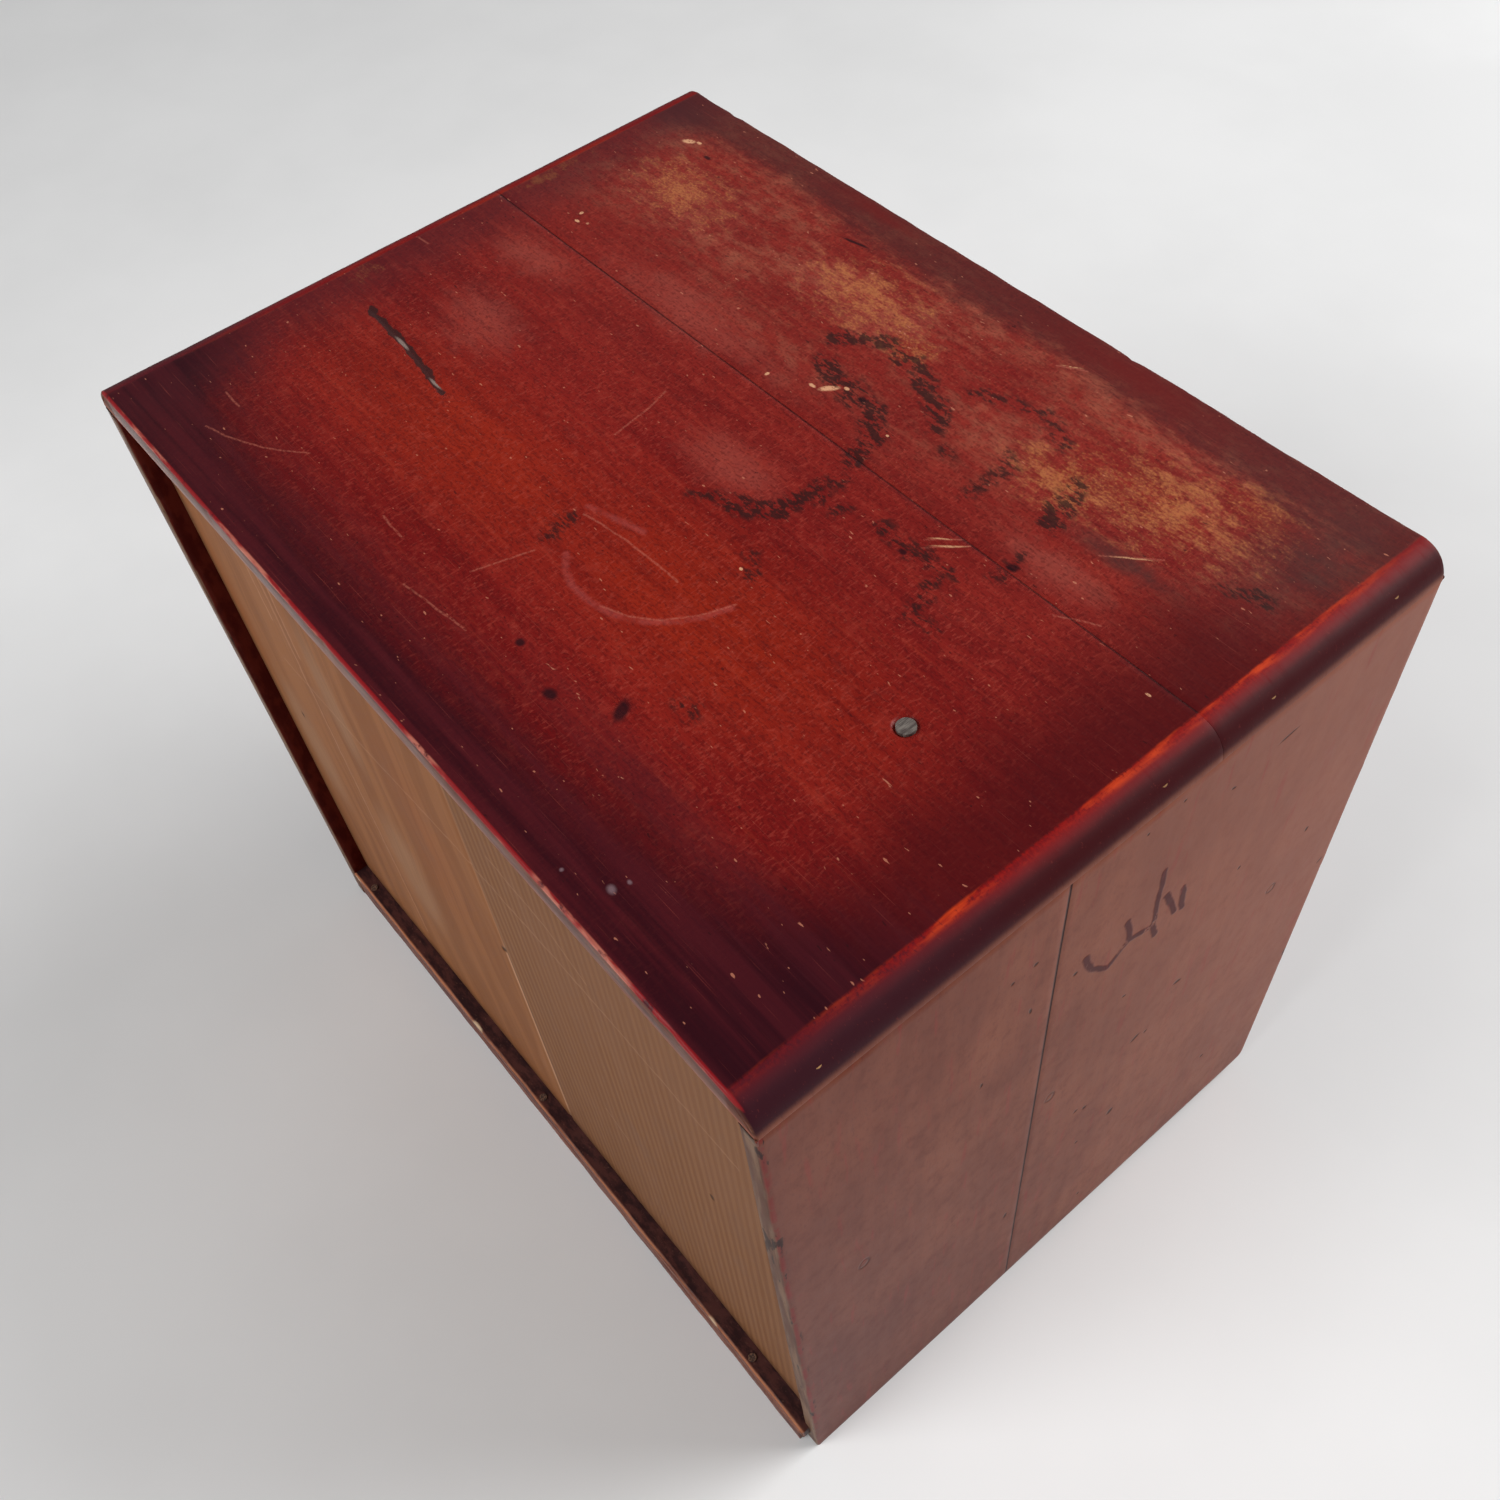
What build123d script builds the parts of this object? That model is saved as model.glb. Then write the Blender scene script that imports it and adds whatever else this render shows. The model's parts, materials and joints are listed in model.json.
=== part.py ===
from build123d import *
import os

# A small tabletop chest of drawers (tansu) in lacquered and bare wood.
# All lengths are in millimetres. The origin is on the floor, at the middle of the whole
# footprint, which runs from the pulls in front to the back edges of the case.
# +Z is up, the drawer fronts face -Y, and "left" is -X, as seen from the front.

# Case
case_width = 364.0
case_depth = 264.0
case_height = 336.0
side_thick = 7.0
top_thick = 11.0
corner_radius = 10.5
top_seam_from_back = 166.0
side_seam_from_back = 109.0
bottom_thick = 8.0
base_rail_height = 12.0
rear_base_rail_depth = 22.0
front_base_rail_depth = 26.0

# Back panel, set in between the boards
back_recess = 7.5
back_thick = 6.0
back_seam_x = -17.0

# Shelves and divider inside the case
rail_thick = 8.0
rail_depth = 24.0
dust_thick = 6.0
divider_thick = 7.0
top_row_height = 82.0
middle_row_height = 98.0

# Joints between fixed boards
groove_depth = 3.0
divider_groove = 2.0
joint_gap = 0.05
dowel_radius = 1.5
dowel_length = 14.0
dowel_end_margin = 22.0

# Nails in the ledge behind the back panel
nail_count = 3
nail_left_margin = 32.5
nail_right_margin = 14.7
nail_from_back = 3.4
nail_head_radius = 1.75
nail_head_height = 0.5
nail_shank_radius = 0.9
nail_length = 17.0

# Round plug let into the top
plug_from_left = 61.0
plug_from_back = 105.0
plug_radius = 3.0
plug_depth = 6.0

# Drawers
front_thick = 10.0
front_lip = 4.0
front_inset = 1.0
drawer_side_thick = 7.0
drawer_back_thick = 7.0
drawer_bottom_thick = 5.0
side_gap = 0.5
seat_gap = 0.3
head_gap = 1.2
stop_gap = 1.0
side_drop = 3.0
back_drop = 8.0

# Wooden pegs that hold each drawer together
peg_radius = 1.1
peg_length = 14.0
peg_rows = 3
peg_margin = 12.0

# Pulls: two eye pins with washers carry each bail
pull_half_width = 24.0
pull_above_middle = 8.0
wide_pull_offset = 92.0
washer_radius = 8.0
washer_thick = 1.0
eye_radius = 3.2
eye_width = 3.6
pivot_gap = 0.08
pin_radius = 1.5
leg_length = 14.0
leg_width = 3.0
leg_thick = 1.0
bail_radius = 1.6
bail_drop = 25.0
bail_overhang = 1.4
bail_side_gap = 0.5
bail_top_bend = 2.6
bail_low_bend = 9.0

# Planes of the case
left_x = -case_width / 2
right_x = case_width / 2
pull_reach = washer_thick + 2 * eye_radius - front_inset
front_y = (pull_reach - case_depth) / 2
back_y = front_y + case_depth
inner_x = (left_x + side_thick, right_x - side_thick)
housed_x = (inner_x[0] - groove_depth + joint_gap, inner_x[1] + groove_depth - joint_gap)
ceiling_z = case_height - top_thick
floor_z = base_rail_height + bottom_thick
panel_y = (back_y - back_recess - back_thick, back_y - back_recess)
rail_y = (front_y, front_y + rail_depth)
dust_y = (rail_y[1], panel_y[0])
top_seam_y = back_y - top_seam_from_back
side_seam_y = back_y - side_seam_from_back
upper_shelf_z = ceiling_z - top_row_height
lower_shelf_z = upper_shelf_z - rail_thick - middle_row_height

# Planes of a drawer
drawer_face_y = front_y + front_inset
drawer_inner_y = drawer_face_y + front_thick
drawer_rear_y = panel_y[0] - stop_gap
pivot_y = drawer_face_y - washer_thick - eye_radius
eye_hole_radius = bail_radius + pivot_gap

parts = {}


def grow(span, by):
    return (span[0] - by, span[1] + by)


def slab(x, y, z):
    """A board that fills three (low, high) spans."""
    sizes = [high - low for low, high in (x, y, z)]
    middle = [(high + low) / 2 for low, high in (x, y, z)]
    return Pos(*middle) * Box(*sizes)


def rod_x(x, y, z, radius):
    """A round rod along X between two values of x."""
    turn = Pos((x[0] + x[1]) / 2, y, z) * Rot(0, 90, 0)
    return turn * Cylinder(radius, x[1] - x[0])


def rod_y(x, y, z, radius):
    turn = Pos(x, (y[0] + y[1]) / 2, z) * Rot(90, 0, 0)
    return turn * Cylinder(radius, y[1] - y[0])


def rod_z(x, y, z, radius):
    return Pos(x, y, (z[0] + z[1]) / 2) * Cylinder(radius, z[1] - z[0])


def group(solids):
    """Separate solids that share one node."""
    return Compound(children=list(solids))


def spread(low, high, count):
    """Evenly spaced values from low to high, ends included."""
    return [low + (high - low) * i / (count - 1) for i in range(count)]


# Boards that are let into the sides, as their x, y and z spans
bottom_spans = (housed_x, (front_y, back_y), (base_rail_height, floor_z))
panel_z = (floor_z - groove_depth + joint_gap, ceiling_z + groove_depth - joint_gap)
shelf_tops = {"upper": upper_shelf_z, "lower": lower_shelf_z}
rail_spans = {name: (housed_x, rail_y, (top - rail_thick, top)) for name, top in shelf_tops.items()}
dust_spans = {name: (housed_x, dust_y, (top - dust_thick, top)) for name, top in shelf_tops.items()}
panel_spans = (housed_x, panel_y, panel_z)
divider_x = (-divider_thick / 2, divider_thick / 2)
divider_z = (upper_shelf_z - divider_groove + joint_gap, ceiling_z + divider_groove - joint_gap)
divider_spans = (divider_x, (front_y, panel_y[0]), divider_z)


def socket(spans):
    """The groove that takes a board, one joint gap larger all round."""
    return slab(*[grow(span, joint_gap) for span in spans])


# Blind dowels between the top and the upper ends of the sides
dowel_z = (ceiling_z - dowel_length / 2, ceiling_z + dowel_length / 2)
dowel_x = (left_x + side_thick / 2, right_x - side_thick / 2)
dowel_y = (
    spread(front_y + dowel_end_margin, top_seam_y - dowel_end_margin, 2)
    + spread(top_seam_y + dowel_end_margin, back_y - dowel_end_margin, 2)
)


def dowels(extra_radius=0.0, extra_length=0.0):
    span = grow(dowel_z, extra_length)
    return [rod_z(x, y, span, dowel_radius + extra_radius) for x in dowel_x for y in dowel_y]


# Nails driven down through the ledge into the rear base rail
nail_x = spread(inner_x[0] + nail_left_margin, inner_x[1] - nail_right_margin, nail_count)
nail_y = back_y - nail_from_back


def nail(x):
    head = rod_z(x, nail_y, (floor_z, floor_z + nail_head_height), nail_head_radius)
    shank = rod_z(x, nail_y, (floor_z - nail_length, floor_z), nail_shank_radius)
    return head + shank


def nail_hole(x):
    span = (floor_z - nail_length - joint_gap, floor_z + joint_gap)
    return rod_z(x, nail_y, span, nail_shank_radius + joint_gap)


def make_top():
    plug_x = left_x + plug_from_left
    plug_y = back_y - plug_from_back
    plug = rod_z(plug_x, plug_y, (case_height - plug_depth, case_height), plug_radius)
    plug_hole = rod_z(
        plug_x, plug_y, (case_height - plug_depth - joint_gap, case_height + joint_gap), plug_radius + joint_gap
    )
    rounding = min(corner_radius, top_thick - joint_gap)
    spans = {"top_front_board": (front_y, top_seam_y), "top_rear_board": (top_seam_y, back_y)}
    for name, y in spans.items():
        board = slab((left_x, right_x), y, (ceiling_z, case_height))
        ends = board.edges().filter_by(Axis.Y).group_by(Axis.Z)[-1]
        board = fillet(ends, rounding)
        board -= socket(panel_spans)
        board -= socket(divider_spans)
        board -= plug_hole
        board -= dowels(joint_gap, joint_gap)
        parts[name] = board
    parts["top_plug"] = plug
    parts["top_dowels"] = group(dowels())


def make_sides():
    walls = {"left": (left_x, inner_x[0]), "right": (inner_x[1], right_x)}
    lengths = {"front": (front_y, side_seam_y), "rear": (side_seam_y, back_y)}
    housed = [bottom_spans, panel_spans] + list(rail_spans.values()) + list(dust_spans.values())
    for side, x in walls.items():
        for end, y in lengths.items():
            board = slab(x, y, (0, ceiling_z))
            for spans in housed:
                board -= socket(spans)
            board -= dowels(joint_gap, joint_gap)
            parts[f"{side}_side_{end}_board"] = board


def make_base():
    bottom = slab(*bottom_spans) - socket(panel_spans)
    rear_rail = slab(inner_x, (back_y - rear_base_rail_depth, back_y), (0, base_rail_height))
    front_rail = slab(inner_x, (front_y, front_y + front_base_rail_depth), (0, base_rail_height))
    for x in nail_x:
        bottom -= nail_hole(x)
        rear_rail -= nail_hole(x)
    parts["bottom_board"] = bottom
    parts["rear_base_rail"] = rear_rail
    parts["front_base_rail"] = front_rail
    parts["base_nails"] = group(nail(x) for x in nail_x)


def make_back():
    left_part = (housed_x[0], back_seam_x)
    right_part = (back_seam_x, housed_x[1])
    parts["back_board_left"] = slab(left_part, panel_y, panel_z)
    parts["back_board_right"] = slab(right_part, panel_y, panel_z)


def make_shelves():
    for name in shelf_tops:
        rail = slab(*rail_spans[name])
        dust_board = slab(*dust_spans[name])
        if name == "upper":
            rail -= socket(divider_spans)
            dust_board -= socket(divider_spans)
        parts[f"{name}_front_rail"] = rail
        parts[f"{name}_dust_board"] = dust_board
    parts["centre_divider"] = slab(*divider_spans)


# Each drawer: the opening it fills, and where its pulls sit
top_row_z = (upper_shelf_z, ceiling_z)
drawers = {
    "top_left": {"x": (inner_x[0], divider_x[0]), "z": top_row_z, "wide": False},
    "top_right": {"x": (divider_x[1], inner_x[1]), "z": top_row_z, "wide": False},
    "middle": {"x": inner_x, "z": (lower_shelf_z, upper_shelf_z - rail_thick), "wide": True},
    "bottom": {"x": inner_x, "z": (floor_z, lower_shelf_z - rail_thick), "wide": True},
}


def drawer_spans(name):
    """The outer x and z spans of a drawer."""
    opening = drawers[name]
    x = grow(opening["x"], -side_gap)
    z = (opening["z"][0] + seat_gap, opening["z"][1] - head_gap)
    return x, z


def pull_places(name):
    """The name of each bail of a drawer, with its middle x and its pivot's z."""
    x, z = drawer_spans(name)
    middle_x = (x[0] + x[1]) / 2
    pivot_z = (z[0] + z[1]) / 2 + pull_above_middle
    if not drawers[name]["wide"]:
        return {f"bail_{name}": (middle_x, pivot_z)}
    return {
        f"bail_{name}_left": (middle_x - wide_pull_offset, pivot_z),
        f"bail_{name}_right": (middle_x + wide_pull_offset, pivot_z),
    }


def eye_places(name):
    places = pull_places(name).values()
    return [(x + shift, z) for x, z in places for shift in (-pull_half_width, pull_half_width)]


def drawer_inside(name):
    """The x, y and z spans of a drawer's clear inside."""
    x, z = drawer_spans(name)
    inside_x = grow(x, -drawer_side_thick)
    inside_y = (drawer_inner_y, drawer_rear_y - drawer_back_thick)
    inside_z = (z[0] + drawer_bottom_thick, z[1] - side_drop)
    return inside_x, inside_y, inside_z


def drawer_pegs(name, extra_radius=0.0, extra_length=0.0):
    """Pegs through the sides into the front and the back, and up through the bottom into the sides."""
    x, z = drawer_spans(name)
    inside_x, inside_y, inside_z = drawer_inside(name)
    radius = peg_radius + extra_radius
    front_peg_y = drawer_face_y + (front_lip + front_thick) / 2
    back_peg_y = drawer_rear_y - drawer_back_thick / 2
    heights = spread(inside_z[0] + peg_margin, inside_z[1] - peg_margin, peg_rows)
    pegs = []
    for start, step in ((x[0], 1), (x[1], -1)):
        span = sorted((start, start + step * (peg_length + extra_length)))
        for z_peg in heights:
            pegs.append(rod_x(span, front_peg_y, z_peg, radius))
        for z_peg in heights[:-1]:
            pegs.append(rod_x(span, back_peg_y, z_peg, radius))
    low = (z[0], z[0] + peg_length + extra_length)
    for x_peg in (x[0] + drawer_side_thick / 2, x[1] - drawer_side_thick / 2):
        for y_peg in spread(inside_y[0] + 2 * peg_margin, inside_y[1] - 2 * peg_margin, peg_rows):
            pegs.append(rod_z(x_peg, y_peg, low, radius))
    return pegs


def make_drawer(name):
    x, z = drawer_spans(name)
    inside_x, inside_y, inside_z = drawer_inside(name)
    rebate_y = drawer_face_y + front_lip
    side_y = (rebate_y, drawer_rear_y)
    side_z = (inside_z[0], inside_z[1])
    back_z = (inside_z[0], z[1] - back_drop)
    left_side = (x[0], inside_x[0])
    right_side = (inside_x[1], x[1])
    bottom = slab(x, side_y, (z[0], inside_z[0]))
    front = slab(x, (drawer_face_y, drawer_inner_y), z)
    for end_x in (left_side, right_side):
        front -= slab(end_x, (rebate_y, drawer_inner_y), side_z)
    front -= slab(x, (rebate_y, drawer_inner_y), (z[0], inside_z[0]))
    boards = {
        "front": front,
        "left_side": slab(left_side, side_y, side_z),
        "right_side": slab(right_side, side_y, side_z),
        "back": slab(inside_x, (inside_y[1], drawer_rear_y), back_z),
        "bottom": bottom,
    }
    peg_holes = drawer_pegs(name, joint_gap, joint_gap)
    pin_holes = [
        rod_y(eye_x, (drawer_face_y, drawer_inner_y), eye_z, pin_radius + joint_gap)
        for eye_x, eye_z in eye_places(name)
    ]
    for board_name, board in boards.items():
        board -= peg_holes
        if board_name == "front":
            board -= pin_holes
        parts[f"drawer_{name}_{board_name}"] = board
    parts[f"drawer_{name}_pegs"] = group(drawer_pegs(name))
    parts[f"drawer_{name}_washers"] = group(washer(*place) for place in eye_places(name))
    parts[f"drawer_{name}_pins"] = group(eye_pin(*place) for place in eye_places(name))


def washer(x, z):
    span = (drawer_face_y - washer_thick, drawer_face_y)
    return rod_y(x, span, z, washer_radius) - rod_y(x, span, z, pin_radius + joint_gap)


def eye_pin(x, z):
    """A pin with an eye in front of the washer and its legs spread flat inside the drawer."""
    ring_x = (x - eye_width / 2, x + eye_width / 2)
    ring = rod_x(ring_x, pivot_y, z, eye_radius)
    shank_start = pivot_y + (eye_hole_radius + eye_radius) / 2
    shank = rod_y(x, (shank_start, drawer_inner_y + leg_thick), z, pin_radius)
    legs_x = (x - leg_width / 2, x + leg_width / 2)
    legs = slab(legs_x, (drawer_inner_y, drawer_inner_y + leg_thick), grow((z, z), leg_length / 2))
    return ring + shank + legs - rod_x(ring_x, pivot_y, z, eye_hole_radius)


def bail_spans():
    """Half widths of a bail: where its ends stop, and the middle of its arms."""
    end = pull_half_width - eye_width / 2 - bail_overhang
    arm = pull_half_width + eye_width / 2 + bail_side_gap + bail_top_bend
    return end, arm


def bail(middle_x, pivot_z):
    end, arm = bail_spans()
    low_z = pivot_z - bail_drop
    corners = [(-end, pivot_z), (-arm, pivot_z), (-arm, low_z), (arm, low_z), (arm, pivot_z), (end, pivot_z)]
    points = [(middle_x + x, pivot_y, z) for x, z in corners]
    bends = [bail_top_bend, bail_low_bend, bail_low_bend, bail_top_bend]
    path = FilletPolyline(*points, radius=bends)
    section = Plane(path @ 0, z_dir=path % 0) * Circle(bail_radius)
    return sweep(section, path=path)


def make_all():
    make_top()
    make_sides()
    make_base()
    make_back()
    make_shelves()
    for name in drawers:
        make_drawer(name)
        for bail_name, place in pull_places(name).items():
            parts[bail_name] = bail(*place)


make_all()
os.makedirs("parts", exist_ok=True)
for node_name, shape in parts.items():
    shape.label = node_name
    export_step(shape, f"parts/{node_name}.step")
print(len(parts), "nodes written")
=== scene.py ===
"""Small tabletop chest: worn red lacquer case, bare cedar back, four drawers with iron bails."""

import json
import math
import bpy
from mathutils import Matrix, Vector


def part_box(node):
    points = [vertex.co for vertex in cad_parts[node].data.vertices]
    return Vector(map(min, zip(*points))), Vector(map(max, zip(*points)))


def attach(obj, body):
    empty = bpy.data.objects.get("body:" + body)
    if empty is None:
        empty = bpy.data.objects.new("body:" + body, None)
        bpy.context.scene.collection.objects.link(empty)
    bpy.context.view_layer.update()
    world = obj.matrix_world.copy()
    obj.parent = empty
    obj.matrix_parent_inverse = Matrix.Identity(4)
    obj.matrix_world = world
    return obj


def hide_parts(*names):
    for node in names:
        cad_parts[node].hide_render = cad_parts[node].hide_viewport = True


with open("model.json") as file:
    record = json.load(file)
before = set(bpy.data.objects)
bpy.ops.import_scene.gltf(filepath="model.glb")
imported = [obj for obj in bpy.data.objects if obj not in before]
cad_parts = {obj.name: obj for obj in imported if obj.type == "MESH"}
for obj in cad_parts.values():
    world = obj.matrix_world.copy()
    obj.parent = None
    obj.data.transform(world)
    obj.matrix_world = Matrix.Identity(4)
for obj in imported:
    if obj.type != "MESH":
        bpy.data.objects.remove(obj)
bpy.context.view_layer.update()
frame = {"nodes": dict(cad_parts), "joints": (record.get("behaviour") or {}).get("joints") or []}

from types import SimpleNamespace

import bmesh
import bpy
from mathutils import Vector, noise

MM = 0.001

# Camera, fitted to the photograph's edges
CAMERA_PLACE = (-0.30586, 0.20696, 0.67004)
CAMERA_TURN = (36.647, 4.119, -129.487)
CAMERA_LENS = 36.638

# Places on the case, in mm
TOP_Z = 336.0
CORNER = 10.5
BACK_Y = 135.2
FRONT_Y = -128.8
SIDE_X = 182.0
SIDE_TOP_Z = 325.0
SIDE_MIDDLE_Z = 162.0
END_X = SIDE_X - CORNER
INNER_X = 175.0
LINING_Y = 124.0
WASHER_Y = -127.8
PIN_SPREAD = 24.0
TOP_SEAM_Y = -30.8
SIDE_SEAM_Y = 26.2
SIDE_SEAM_LEAN = 2.0
FOOT_LEAN = 4.0
FOOT_ROUND = 5.0
FOOT_RISE = 5.0
BACK_SEAM_X = -17.0
SEAM_FOOT_X = -6.6
SEAM_SLOPE = 0.021
LINE_PITCH = 4.2
BACKDROP = (0.8, 0.8, 0.8, 1.0)
PLUG = (-121.0, 30.2)
PLUG_RADIUS = 3.0
GROOVE = ((146, 42), (130, 43), (106, 45), (89, 48))
DENTS = (
    (-44, 96, 2.4), (-62, 84, 2.6), (-72, -14, 1.6), (-99, -37, 1.3), (-13, -51, 1.5))
EDGE_CHIPS = (
    (182, 118, 5), (182, -4, 3), (148, -129, 4), (-60, -129, 4), (-182, 60, 5), (-182, -12, 4),
    (-150, 135, 4), (20, 135, 4), (96, 135, 3))


# Node helpers, which build the materials

def srgb(r, g, b):
    """A linear colour from screen values of 0 to 255."""
    line = []
    for value in (r, g, b):
        part = value / 255
        line.append(part / 12.92 if part <= 0.04045 else ((part + 0.055) / 1.055) ** 2.4)
    return (*line, 1.0)


class Val:
    """A socket that takes part in plain arithmetic."""

    def __init__(self, graph, socket):
        self.graph = graph
        self.socket = socket

    def __add__(self, other):
        return self.graph.math("ADD", self, other)

    def __sub__(self, other):
        return self.graph.math("SUBTRACT", self, other)

    def __rsub__(self, other):
        return self.graph.math("SUBTRACT", other, self)

    def __mul__(self, other):
        return self.graph.math("MULTIPLY", self, other)

    __radd__ = __add__
    __rmul__ = __mul__

    def coat(self, amount, *colour):
        """This colour with the given amount of a screen colour over it."""
        return self.graph.mix(amount, self, srgb(*colour))


class Graph:
    """A procedural material whose pattern is placed in mm in the object's frame."""

    def __init__(self, name):
        self.material = bpy.data.materials.new(name)
        self.material.use_nodes = True
        tree = self.material.node_tree
        self.nodes = tree.nodes
        self.links = tree.links
        self.shader = self.nodes["Principled BSDF"]
        coords = self.nodes.new("ShaderNodeTexCoord")
        self.raw = Val(self, coords.outputs["Object"])
        place = self.moved(self.raw, (0, 0, 0), (1 / MM, 1 / MM, 1 / MM))
        split = self.nodes.new("ShaderNodeSeparateXYZ")
        self.put(split.inputs[0], place)
        self.x, self.y, self.z = [Val(self, out) for out in split.outputs]
        self.walk = {}

    def put(self, socket, value):
        if isinstance(value, Val):
            self.links.new(value.socket, socket)
        else:
            socket.default_value = value

    def math(self, operation, a, b=0.0):
        node = self.nodes.new("ShaderNodeMath")
        node.operation = operation
        self.put(node.inputs[0], a)
        self.put(node.inputs[1], b)
        return Val(self, node.outputs[0])

    def size(self, value):
        return self.math("ABSOLUTE", value)

    def most(self, a, b):
        return self.math("MAXIMUM", a, b)

    def vector(self, x, y, z=0.0):
        node = self.nodes.new("ShaderNodeCombineXYZ")
        for socket, value in zip(node.inputs, (x, y, z)):
            self.put(socket, value)
        return Val(self, node.outputs[0])

    def vector_math(self, operation, a, b, out=0):
        node = self.nodes.new("ShaderNodeVectorMath")
        node.operation = operation
        self.put(node.inputs[0], a)
        self.put(node.inputs[1], b)
        return Val(self, node.outputs[out])

    def noise(self, size, detail=3.0, rough=0.55, shift=0.0, at=None):
        """Soft noise from 0 to 1, with features of the given size in mm along x, y and z."""
        unit = 1.0 if at else 1 / MM
        scaled = self.moved(at or self.raw, (shift, shift * 0.7, shift * 1.3), tuple(unit / s for s in size))
        node = self.nodes.new("ShaderNodeTexNoise")
        self.put(node.inputs["Vector"], scaled)
        node.inputs["Scale"].default_value = 1.0
        node.inputs["Detail"].default_value = detail
        node.inputs["Roughness"].default_value = rough
        return Val(self, node.outputs["Fac"])

    def step(self, value, low, high):
        """0 at low, 1 at high, smooth between; high may be the smaller."""
        node = self.nodes.new("ShaderNodeMapRange")
        node.interpolation_type = "SMOOTHSTEP"
        node.clamp = False
        self.put(node.inputs["Value"], value)
        node.inputs["From Min"].default_value = low
        node.inputs["From Max"].default_value = high
        return Val(self, node.outputs["Result"])

    def band(self, value, middle, half, soft):
        """1 within half of the middle, 0 further away."""
        return self.step(self.size(value - middle), half + soft, half)

    def mix(self, amount, a, b):
        """Colour a with the given amount of colour b over it."""
        node = self.nodes.new("ShaderNodeMix")
        node.data_type = "RGBA"
        self.put(node.inputs[0], amount)
        self.put(node.inputs[6], a)
        self.put(node.inputs[7], b)
        return Val(self, node.outputs[2])

    def tones(self, value, low, high, first, second):
        """The first screen colour at low, the second at high."""
        return self.mix(self.step(value, low, high), srgb(*first), srgb(*second))

    def sheet(self, u, v, wobble):
        """A flat place for marks, with slightly wandering edges."""
        first = self.noise((9, 9, 9), 3, shift=5.5) - 0.5
        second = self.noise((9, 9, 9), 3, shift=8.5) - 0.5
        return self.vector(u + first * (wobble * 2), v + second * (wobble * 2))

    def moved(self, at, place, scale):
        node = self.nodes.new("ShaderNodeMapping")
        self.put(node.inputs["Vector"], at)
        node.inputs["Location"].default_value = place
        node.inputs["Scale"].default_value = scale
        return Val(self, node.outputs[0])

    def near(self, flat, place):
        """The flat place as seen from a mark, told from the mark before it, which keeps the shader small."""
        last, start = self.walk.get(flat, (flat, (0, 0)))
        now = self.vector_math("SUBTRACT", last, (place[0] - start[0], place[1] - start[1], 0))
        self.walk[flat] = (now, place)
        return now

    def spots(self, flat, places, soft=0.6):
        """1 inside ellipses of (u, v, half_u, half_v) or (u, v, half_u, half_v, degrees), 0 outside."""
        least = None
        for u, v, half_u, half_v, *turn in places:
            near = self.near(flat, (u, v))
            c = math.cos(math.radians(sum(turn)))
            s = math.sin(math.radians(sum(turn)))
            a = self.vector_math("DOT_PRODUCT", near, (c / half_u, s / half_u, 0), out=1)
            b = self.vector_math("DOT_PRODUCT", near, (-s / half_v, c / half_v, 0), out=1)
            far = a * a + b * b
            least = far if least is None else self.math("MINIMUM", least, far)
        return self.step(self.math("SQRT", least), 1.0, 1.0 - soft)

    def strokes(self, flat, lines, half, soft=0.5):
        """1 along the lines, 0 away from them."""
        least = None
        for line in lines:
            for start, end in zip(line, line[1:]):
                run = Vector(end) - Vector(start)
                rate = run / run.length_squared
                near = self.near(flat, start)
                share = self.vector_math("DOT_PRODUCT", near, (*rate, 0), out=1)
                share = self.math("MAXIMUM", self.math("MINIMUM", share, 1.0), 0.0)
                on = self.vector(share * run.x, share * run.y)
                far = self.vector_math("DISTANCE", near, on, out=1)
                least = far if least is None else self.math("MINIMUM", least, far)
        return self.step(least, half, half * (1 - soft))

    def done(self, colour, rough, height=None, specular=0.5, metallic=0.0):
        """Joins the pattern to the shader; height is in mm."""
        self.put(self.shader.inputs["Base Color"], colour)
        self.put(self.shader.inputs["Roughness"], rough)
        self.put(self.shader.inputs["Metallic"], metallic)
        self.shader.inputs["Specular IOR Level"].default_value = specular
        if height is not None:
            node = self.nodes.new("ShaderNodeBump")
            node.inputs["Distance"].default_value = MM
            self.put(node.inputs["Height"], height)
            self.links.new(node.outputs[0], self.shader.inputs["Normal"])
        return self.material


# Materials

def bare_wood(g, grain, pale, dark, shift=0.0):
    """Colour and height of planed wood whose grain runs along axis number grain."""
    line = [1.3, 1.3, 1.3]
    line[grain] = 240.0
    wide = [22.0, 22.0, 22.0]
    wide[grain] = 320.0
    pore = [0.5, 0.5, 0.5]
    pore[grain] = 26.0
    lines = g.noise(line, 2, shift=shift)
    zones = g.noise(wide, 3, shift=shift + 3)
    pores = g.noise(pore, 2, shift=shift + 7)
    tone = g.step(lines, 0.3, 0.7) * 0.5 + g.step(zones, 0.35, 0.65) * 0.5
    colour = g.mix(tone, dark, pale)
    colour = colour.coat(g.step(pores, 0.62, 0.75) * 0.35, 84, 54, 34)
    return colour, lines * 0.12 - g.step(pores, 0.6, 0.75) * 0.1


def inner_wood(name, grain, pale=(196, 160, 118), dark=(158, 116, 78), shift=0.0):
    """Bare planed wood with some grime."""
    g = Graph(name)
    colour, height = bare_wood(g, grain, srgb(*pale), srgb(*dark), shift)
    grime = g.noise((60, 60, 60), 4, shift=shift + 1)
    colour = colour.coat(g.step(grime, 0.52, 0.75) * 0.4, 112, 78, 52)
    return g.done(colour, 0.62, height, specular=0.35)


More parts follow.
